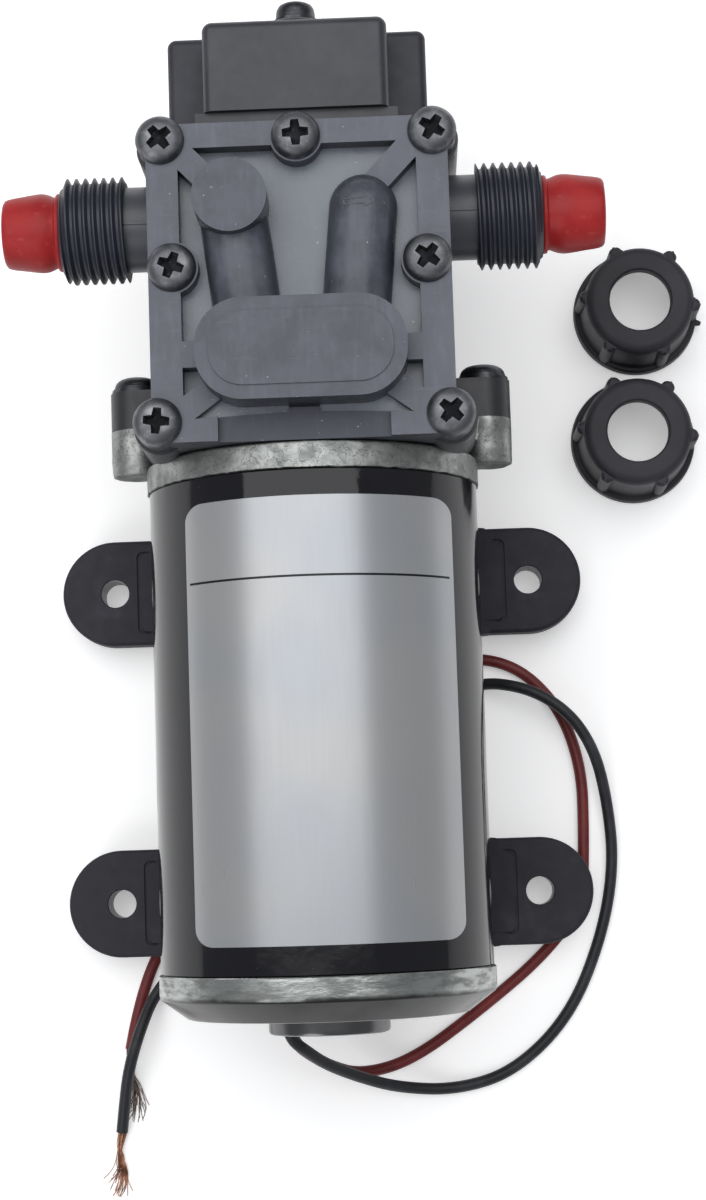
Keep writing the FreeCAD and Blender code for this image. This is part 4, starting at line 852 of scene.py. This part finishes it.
def cover_plastic(name, colour, scuffed, roughness, specular=0.3):
    """Grey moulded cover: cloudy tone, faint drawn scratches, white nicks and painted shade on its upright walls."""
    skin = Finish(name, specular=specular)
    cloudy = skin.patches(0.36, 0.66, 9, 5, 0.6)
    drawn = skin.patches(0.5, 0.7, 1.1, 3, vector=skin.stretched(1, 0.16, 1))
    scratches = skin.patches(0.64, 0.72, 0.9, 2, vector=skin.stretched(0.12, 1, 1))
    nicks = skin.patches(0.73, 0.77, 1, 2)
    tone = skin.mix(cloudy * 0.65 + drawn * 0.25, colour, scuffed)
    tone = skin.mix(nicks, skin.mix(scratches * 0.3, tone, scuffed), (176, 178, 180))
    # Painted shade: faces that stand upright are mixed well towards near black, while upward faces keep the tone.
    slope = skin.node("ShaderNodeSeparateXYZ", {}, {"Vector": skin.node("ShaderNodeTexCoord", output=1)}, 2)
    painted_wall_shade = skin.mix(0.62, tone, (24, 24, 28))
    skin.colour(skin.between(slope, 0.3, 0.86), painted_wall_shade, tone)
    return skin.done(roughness - 0.1 + 0.2 * cloudy, skin.cloud(0.45, 3) - scratches * 0.3, 0.018)


cover_middle_y = 85.9
frame_part = slab(bmesh.new(), oblong(cover_half_x, 31.3, 0.6, cover_middle_y), field_z - 0.5, rim_top_z, 0)
arch = [(rim_inner_x * (i / 8 - 1), rim_inner_y[0] + toe_arch * (1 - (i / 8 - 1) ** 2)) for i in range(17)]
sunk = slab(bmesh.new(), arch + [(rim_inner_x, rim_inner_y[1]), (-rim_inner_x, rim_inner_y[1])],
            field_z - 1, rim_top_z + 1, 0)
grown = [((26.4 * side, 115.2 + 0.8 * (side > 0)), ends, 2.5) for side, ends in
         ((-1, disc_centre), (1, (dome_centre[0], dome_centre[1] + 2)))]
for side in (-1, 1):
    grown.append(((side * 17, 71.7), (side * 24, 71.7), 2.6))
    grown.append(((side * 28.2, 56.8), (side * 16.3, 65.6), 2.45))
grown.append(((0, 57), (0, 63.5), 3))
added = [rib(bmesh.new(), *bar, field_z - 0.3, rim_top_z) for bar in grown]
for place in mid_bosses:
    outline = [(max(-cover_half_x, min(cover_half_x, x)), min(y, cover_y[1]))
               for x, y in circle(boss_radius, 64, place)]
    added.append(slab(bmesh.new(), outline, field_z - 0.2, rim_top_z, 0))
added += [slab(bmesh.new(), circle(lug_radius, 64, place), cover_bottom_z, rim_top_z, 0) for place in corner_lugs]
strip = slab(bmesh.new(), rect(-toe_strip_half_x, 50, toe_strip_half_x, 61), toe_strip_z, 80, 0)
tab = slab(bmesh.new(), rect(-tab_half_x, 60.9, tab_half_x, 64), tab_z, 80, 0)
for operation, tools in (("DIFFERENCE", [sunk]), ("UNION", added), ("DIFFERENCE", [strip, tab])):
    for tool in tools:
        frame_part = carve(frame_part, tool, operation)
ease_edges(frame_part, 0.28, 3, above=toe_strip_z + 1)

field_part = collar(bmesh.new(), oblong(cover_half_x - 0.02, 31.28, 0.6, cover_middle_y), chamber(chamber_wall),
                    cover_bottom_z, field_z, 0, 0)
shore = [(x, y) for x, y in chamber(0.5) if abs(x) < 17.5 and y < chamber_y]
slab(field_part, [(-25.5, 58.2), (25.5, 58.2)] + sorted(shore, reverse=True), field_z - 0.3, low_pocket_z, 0)

passages = slab(bmesh.new(), circle(disc_radius, 72, disc_centre), field_z - 0.4, chamber_top_z - 0.05, 0.4)
raised_tube(passages, disc_centre, tube_feet[0], False)
raised_tube(passages, dome_centre, tube_feet[1], True)
collar(passages, chamber(0), chamber(chamber_wall + 0.02), cover_bottom_z + 0.02, chamber_top_z, 1,
       ceiling=chamber_top_z - chamber_wall)
slab(passages, chamber(panel_inset), chamber_top_z - 0.3, chamber_top_z + panel_step, 0.15)
arrow_ribs = bmesh.new()
for start, end in zip(arrow, arrow[1:] + arrow[:1]):
    steps = max(1, round((Vector(end) - Vector(start)).length / 0.8))
    stops = [Vector(start).lerp(Vector(end), i / steps) for i in range(steps + 1)]
    for near, far in zip(stops, stops[1:]):
        aside, ahead = (near + far) / 2 - Vector(dome_centre)
        height = tube_axis_z + sqrt(tube_radius ** 2 - aside ** 2 - max(0, ahead) ** 2)
        rib(arrow_ribs, near, far, 0.17, height - 0.8, height + 0.12, 0.05)
stamp(passages, arrow_ribs)

cover = bmesh.new()
for i, part in enumerate((frame_part, field_part, passages)):
    stamp(cover, part, finish=i)
for face in cover.faces:
    middle = face.calc_center_median()
    if face.normal.z > 0.9 and abs(middle.z - toe_strip_z) < 0.02:
        face.material_index = 3
    # The low tab under the chamber gets its own near-black finish, which is painted shade.
    elif face.material_index == 0 and abs(middle.x) < 3.1 and middle.z < tab_z + 0.02 and 60.8 < middle.y < 64:
        face.material_index = 4
    elif face.material_index == 1 and abs(face.normal.z) < 0.5:
        face.material_index = 0
piece("valve_cover", cover, [
    cover_plastic("cover_ribs", (76, 79, 89), (100, 103, 113), 0.42, 0.42),
    cover_plastic("cover_field", (99, 105, 114), (114, 120, 130), 0.34, 0.62),
    cover_plastic("cover_passages", (68, 71, 80), (94, 97, 107), 0.36, 0.35),
    cover_plastic("cover_toe", (72, 74, 82), (86, 88, 96), 0.6, 0.22),
    cover_plastic("cover_tab_painted_shade", (36, 37, 42), (52, 53, 60), 0.6, 0.22),
])


# Screws: blackened pan heads with cross recesses, worn bright where tools have touched.
# Seven hold the head together and two, on plain washers, hold it to the front bracket.

head_radius = 4.75
head_height = 2.6
washer_radius = 5.2
washer_thickness = 0.8
cover_screw_length = 34
rear_screw_length = 26
ear_screw_length = 17.6
ear_front_y = 70.9
screw_turns = (38, -32, -6, 48, 2, -22, 52)


def blackened_steel(name, colour, brighter, worn, roughness):
    """Oiled black oxide on steel, slightly uneven and rubbed brighter in patches."""
    skin = Finish(name, metallic=1)
    rubbed = skin.patches(0.45, 0.72, 3.4, 3, 0.55)
    fine = skin.patches(0.62, 0.74, 0.6, 2)
    tone = skin.mix(rubbed, colour, brighter)
    skin.colour(fine * 0.3, tone, worn)
    return skin.done(roughness - 0.06 + 0.16 * skin.cloud(1.6, 3), skin.cloud(0.8, 3, 0.55), 0.015)


def pan_head(length):
    """Screw along -Z with the underside of its head at the origin."""
    shape = turn(bmesh.new(), [
        (0, head_height), (1.6, 2.56), (2.7, 2.4), (3.5, 2.12), (4.1, 1.68), (4.48, 1.16), (4.64, 0.66),
        (4.68, 0.52), (head_radius, 0.42), (head_radius, 0.06), (4.68, 0), (2, 0),
        (2, 1.2 - length), (1.1, -length), (0, -length)], along="z", steps=64, closed=False)
    arm, flank, knee = 3.1, 0.92, 1.15
    corners = []
    for c, s in ((1, 0), (0, 1), (-1, 0), (0, -1)):
        corners += [(x * c - y * s, x * s + y * c) for x, y in ((-flank, -arm), (flank, -arm), (knee, -knee))]
    cross = slab(bmesh.new(), filleted(corners, 0.12, 2), head_height - 1.7, head_height + 1, edge=0)
    for vert in cross.verts:
        if vert.co.z < head_height:
            vert.co.xy *= 0.6
    head = carve(shape, cross)
    # The faces inside the cross recess take the second finish, a near-black steel that paints the shade in the
    # recess.
    second_finish(head, lambda at: at.xy.length < 3.4 and 0.5 < at.z < 2.3 - 0.06 * at.xy.length_squared)
    return head


black_steel = blackened_steel("black_steel", (100, 101, 105), (136, 137, 140), (160, 161, 162), 0.46)
oiled_steel = blackened_steel("oiled_steel", (60, 61, 65), (92, 93, 96), (128, 129, 130), 0.36)
# Near-black steel for the cross recesses is painted shade.
recess_painted_shade = blackened_steel("recess_painted_shade", (26, 27, 29), (40, 41, 44), (84, 85, 88), 0.5)
long_screw = pan_head(cover_screw_length)
short_screw = pan_head(rear_screw_length)
cover_screws = bmesh.new()
for (x, y), turned in zip(corner_lugs + mid_bosses, screw_turns):
    stamp(cover_screws, short_screw if y < 60 else long_screw, put(x, y, rim_top_z + 0.03, turned))
piece("cover_screws", cover_screws, [black_steel, recess_painted_shade], sharp=45)
ear_screw = pan_head(ear_screw_length)
washer = collar(bmesh.new(), circle(washer_radius), circle(2.1), 0.01, washer_thickness, 0.15, 0.1)
ear_screws = bmesh.new()
for side in (-1, 1):
    seat = put(side * ear_x, ear_front_y, motor_axis_z, -90, "X")
    stamp(ear_screws, ear_screw, seat @ put(z=washer_thickness, degrees=20))
    stamp(ear_screws, washer, seat)
piece("ear_screws", ear_screws, [oiled_steel, recess_painted_shade], sharp=45)


# Spigots: two black mouldings with a 1/2-14 thread on a plain neck, seated in the valve body.
# Each has a parting line along its neck.

port_y = 101.4
port_z = 57
neck_radius = 8.5
neck_start_x = 20
thread_start_x = 35
thread_radius = 10.65
thread_root = 9.5
thread_pitch = 1.814
thread_run_in_x = 34.43
thread_turns = 7.6
thread_steps = 40
spigot_end_x = 48
spigot_bore = 5.5
mouth_radius = 7.85
mouth_floor_x = 47.1

crest = [(-0.42, thread_root - 0.2), (-0.07, thread_radius), (0.07, thread_radius), (0.42, thread_root - 0.2)]
ridge = bmesh.new()
verts = [ridge.verts.new((thread_run_in_x + a * thread_pitch, 0, -r)) for a, r in crest]
edges = [ridge.edges.new(pair) for pair in zip(verts, verts[1:] + verts[:1])]
bmesh.ops.spin(ridge, geom=verts + edges + [ridge.faces.new(verts)], cent=(0, 0, 0), axis=(1, 0, 0),
               dvec=(thread_pitch / thread_steps, 0, 0), angle=2 * pi * thread_turns,
               steps=round(thread_steps * thread_turns))
ends_cut = turn(bmesh.new(), [(8, 33), (12, 33), (12, thread_start_x), (8, thread_start_x)], along="x")
turn(ends_cut, [(9, 47.7), (9.4, 47.6), (11.2, 46.8), (12, 46.8), (12, 50), (9, 50)], along="x")
spigot = carve(ridge, ends_cut)
turn(spigot, [(spigot_bore, neck_start_x), (neck_radius, neck_start_x), (neck_radius, thread_start_x - 0.02),
              (thread_root, thread_start_x), (thread_root, 46.8), (8.9, 47.5), (8.5, spigot_end_x),
              (mouth_radius, spigot_end_x), (mouth_radius, mouth_floor_x), (spigot_bore, mouth_floor_x)],
     along="x")
second_finish(spigot, lambda at: at.x > thread_start_x - 0.05)
# Neck and thread are one black nylon: the neck's lighter copy is a painted sheen, and the thread's darker, bluer copy
# is painted shade between its flanks.
neck_nylon_painted_sheen = moulded("neck_nylon_painted_sheen", (62, 63, 69), (94, 95, 102), 0.36)
thread_nylon_painted_shade = moulded("thread_nylon_painted_shade", (39, 42, 51), (61, 64, 75), 0.42, 0.5, 0.4)
left_end = put(0, port_y, port_z, 180)
right_end = put(0, port_y, port_z)
for name, place, line_y in (("inlet_spigot", left_end, 0.8), ("outlet_spigot", right_end, -0.5)):
    line = rib(bmesh.new(), (29, line_y), (thread_start_x, line_y), 0.28, neck_radius - 0.3, neck_radius + 0.22, 0.12)
    placed = stamp(stamp(bmesh.new(), spigot, place), line, place, 0)
    piece(name, placed, [neck_nylon_painted_sheen, thread_nylon_painted_shade])


# Protection plugs: soft red polyethylene, pushed into the spigots until the pump is piped.
# A bead rests against the spigot and three ribs grip its bore.

bead_x = 49.05
plug_end_x = 60.5


def soft_red():
    """Translucent-looking red moulding with cloudy colour and a waxy sheen."""
    skin = Finish("soft_red", specular=0.22)
    cloudy = skin.patches(0.35, 0.7, 6, 4)
    rubbed = skin.patches(0.6, 0.76, 1.8, 3)
    tone = skin.mix(cloudy, (147, 32, 34), (162, 40, 40))
    skin.colour(rubbed * 0.3, tone, (190, 80, 76))
    skin.fix("Subsurface Weight", 0.08)
    skin.fix("Subsurface Radius", (0.004, 0.001, 0.001))
    return skin.done(0.36 + 0.16 * cloudy, skin.cloud(1.2, 3), 0.02)


plug_profile = [(0, 39), (4.3, 39)]
for rib_x in (40.1, 42.4, 44.6):
    plug_profile += [(4.3, rib_x), (5.3, rib_x + 0.6), (4.3, rib_x + 1.2)]
plug_profile += [(4.3, 48.02), (7.5, 48.02), (7.72, 48.1), (7.8, 48.3), (7.8, 48.75), (7.66, 48.95), (7.25, bead_x),
                 (7.1, 49.2), (7.15, 49.6), (7.45, 50.3), (7.76, 51.2), (7.9, 52.2), (7.86, 53.2), (7.66, 54.8),
                 (7.4, 56.6), (7.18, 58.4), (7, 59.4), (6.75, 60.1), (6.3, 60.42), (5.6, plug_end_x), (0, plug_end_x)]
red_plastic = soft_red()
for name, place, shorter in (("inlet_plug", left_end, 0.85), ("outlet_plug", right_end, 0)):
    plug = turn(bmesh.new(), plug_profile, along="x", closed=False)
    for vert in plug.verts:
        vert.co.x -= shorter * max(0, vert.co.x - bead_x) / (plug_end_x - bead_x)
    bmesh.ops.transform(plug, matrix=place, verts=plug.verts)
    piece(name, plug, [red_plastic], body=name + "_body", sharp=50)


# Adjusting screw of the pressure switch: turned steel with a domed, slotted head.
# It presses the switch's spring through the end of the housing.

seat_y = 142.4
adjuster_top_y = 146.8

adjuster = turn(bmesh.new(), [
    (0, 130.8), (4.8, 130.8), (4.8, 132.3), (2.96, 132.3), (2.96, seat_y),
    (4.1, seat_y + 0.02), (4.4, seat_y + 0.2), (4.4, seat_y + 0.9),
    (4, seat_y + 1.15), (3.95, 144.7), (3.8, 145.5), (3.4, 146.2), (2.7, 146.6),
    (1.5, 146.76), (0, adjuster_top_y)], steps=64, closed=False)
adjuster = carve(adjuster, slab(bmesh.new(), rect(-3.2, 145.7, 3.2, 148), -0.5, 0.5, edge=0))
placed = stamp(bmesh.new(), adjuster, put(0, 0, port_z))
piece("adjusting_screw", placed, [oiled_steel], body="adjusting_screw_body", sharp=45)


# Union nuts: two black mouldings with six rounded lugs each, standing on their wide mouths.
# They are loose, and one still has a trace of its sprue on the flange.

nut_places = {"union_nut_upper": (71.1, 92.6), "union_nut_lower": (69.4, 64.0)}
nut_top_z = 16
nut_body_radius = 11.9
nut_flange_radius = 13.6
nut_hole = 6.6
nut_bore = 10.9
nut_bore_z = 13
nut_nylon = moulded("nut_nylon", (42, 42, 47), (64, 63, 69), 0.5, 0.7, 0.25)

for name, (x, y) in nut_places.items():
    nut = turn(bmesh.new(), [
        (nut_hole, nut_bore_z), (nut_bore, nut_bore_z), (nut_bore, 0.6),
        (nut_bore + 0.5, 0.02), (13.2, 0.02), (13.5, 0.25), (nut_flange_radius, 0.6),
        (13.5, 2.3), (13.3, 2.8), (13, 3), (12.55, 3.02), (12.3, 3.3), (12.1, 4.6),
        (nut_body_radius, 8), (11.75, 13.8), (11.6, 14.6), (11.2, 15.35), (10.6, 15.8), (9.8, nut_top_z),
        (7.1, nut_top_z), (6.8, 15.85), (nut_hole, 15.5)], (x, y, 0), "z", 120)
    for lug_angle in range(54, 414, 60):
        lug = slab(bmesh.new(), filleted(rect(10.4, -1.5, 13.1, 1.5), [0.3, 1.35, 1.35, 0.3]), 1, 14.9, edge=0.9)
        for vert in lug.verts:
            vert.co.x += max(0, 0.25 - 0.02 * vert.co.z)
        stamp(nut, lug, put(x, y, 0, lug_angle))
    if name == "union_nut_upper":
        sprue = slab(bmesh.new(), filleted([(12.9, -0.8), (14.6, -0.45), (14.6, 0.35), (12.9, 0.8)], 0.25, 2),
                     1.6, 2.7, edge=0.3)
        stamp(nut, sprue, put(x, y, 0, -11))
    for turn_z in (2.6, 4.4, 6.2, 8, 9.8):
        turn(nut, [(nut_bore + 0.1, turn_z - 0.5), (nut_bore - 0.35, turn_z),
                   (nut_bore + 0.1, turn_z + 0.5)], (x, y, 0), "z")
    piece(name, nut, [nut_nylon], body=name + "_body")


# Inside of the motor, the crank and the head: these keep the shapes that they were made to.
# They are seen only when the pump is taken apart.

def metal(name, colour, worn, roughness, grain_mm=2):
    """Machined metal with soft stains and fine tool marks."""
    skin = Finish(name, metallic=1)
    stains = skin.patches(0.4, 0.7, grain_mm * 3, 4)
    skin.colour(stains, colour, worn)
    return skin.done(roughness - 0.06 + 0.16 * stains, skin.cloud(grain_mm / 4, 2), 0.01)


def dull(name, colour, mottled, roughness, grain_mm=1.5):
    """Sintered, pressed or moulded stock with a speckled surface."""
    skin = Finish(name)
    mottle = skin.patches(0.4, 0.65, grain_mm, 4)
    skin.colour(mottle, colour, mottled)
    return skin.done(roughness - 0.05 + 0.15 * mottle, mottle, 0.02)


dress(metal("ground_steel", (186, 188, 190), (158, 160, 162), 0.22), "motor_shaft",
      "front_bearing_outer", "front_bearing_inner", "rod_bearing_inner", "rod_bearing_outer", "piston_screw")
dress(metal("spring_steel", (150, 152, 156), (120, 122, 126), 0.3), "brush_spring_left",
      "brush_spring_right", "switch_spring", "eccentric", "eccentric_set_screw")
dress(metal("core_steel", (120, 122, 126), (92, 94, 98), 0.45), "armature_core")
dress(metal("sintered_bronze", (170, 128, 78), (140, 104, 64), 0.4), "rear_bush")
dress(metal("segment_copper", (200, 124, 84), (150, 88, 58), 0.3), "commutator")
dress(metal("enamelled_copper", (168, 84, 44), (120, 54, 28), 0.3, 0.8), "armature_windings")
dress(dull("ferrite", (44, 44, 46), (64, 64, 66), 0.6), "field_magnets")
dress(dull("carbon", (30, 30, 32), (52, 52, 54), 0.5), "brush_left", "brush_right")
dress(dull("phenolic", (96, 62, 40), (122, 84, 56), 0.55), "brush_plate")
dress(dull("filled_nylon", (38, 38, 42), (56, 56, 60), 0.45), "connecting_rod", "piston_plate",
      "switch_plunger", "micro_switch")
dress(dull("button_plastic", (176, 40, 36), (196, 62, 52), 0.4), "switch_button")
dress(dull("moulded_rubber", (30, 30, 33), (46, 46, 50), 0.6), "diaphragm", "cover_seal",
      "inlet_valve", "outlet_valve", "switch_diaphragm")


# Studio: a white table under one wide soft box that hangs above and beyond the pump's head.
# A smaller one fills in from the front left, and the room round them is dim.

floor_half = 1.6
floor_glow = 0.32
sky = (0.94, 0.96, 1, 1)
sky_strength = 0.38


def table_top():
    """White laminate. What is seen of it directly is lifted a little, and its shadows stay."""
    skin = Finish("table_top", specular=0.1)
    skin.fix("Roughness", 0.9)
    skin.colour(skin.cloud(900, 2), (242, 242, 242), (246, 246, 246))
    direct = skin.node("ShaderNodeLightPath")
    mirrored = skin.node("ShaderNodeLightPath", output=3)
    through = skin.node("ShaderNodeLightPath", output=6)
    seen = direct + mirrored + through
    skin.fix("Emission Strength", 1)
    skin.feed("Emission Color", skin.node("ShaderNodeMix", {"data_type": "RGBA"}, {
        0: seen, 6: (0, 0, 0, 1), 7: (floor_glow, floor_glow, floor_glow, 1)}, 2))
    return skin.material


def soft_box(name, size, watts, place, aim):
    """Rectangular diffused lamp."""
    lamp = shown(name, bpy.data.lights.new(name, "AREA"))
    lamp.data.shape = "RECTANGLE"
    lamp.data.size, lamp.data.size_y = size
    lamp.data.energy = watts
    lamp.location = place
    lamp.rotation_euler = (Vector(aim) - Vector(place)).to_track_quat("-Z", "Y").to_euler()


floor_mesh = bpy.data.meshes.new("floor")
corners = rect(-floor_half, -floor_half, floor_half, floor_half)
floor_mesh.from_pydata([(x, y, 0) for x, y in corners], [], [(0, 1, 2, 3)])
floor_mesh.materials.append(table_top())
shown("floor", floor_mesh)
soft_box("overhead_box", size=(1.53, 1), watts=10, place=(-0.18, 0.44, 0.95), aim=(-0.18, 0.44, 0))
soft_box("front_box", size=(0.6, 0.6), watts=3, place=(-0.55, -0.7, 0.85), aim=(0, 0.03, 0.04))

world = bpy.data.worlds.new("studio")
world.use_nodes = True
background = world.node_tree.nodes["Background"].inputs
background["Color"].default_value = sky
background["Strength"].default_value = sky_strength
scene.world = world
scene.view_settings.view_transform = "Standard"
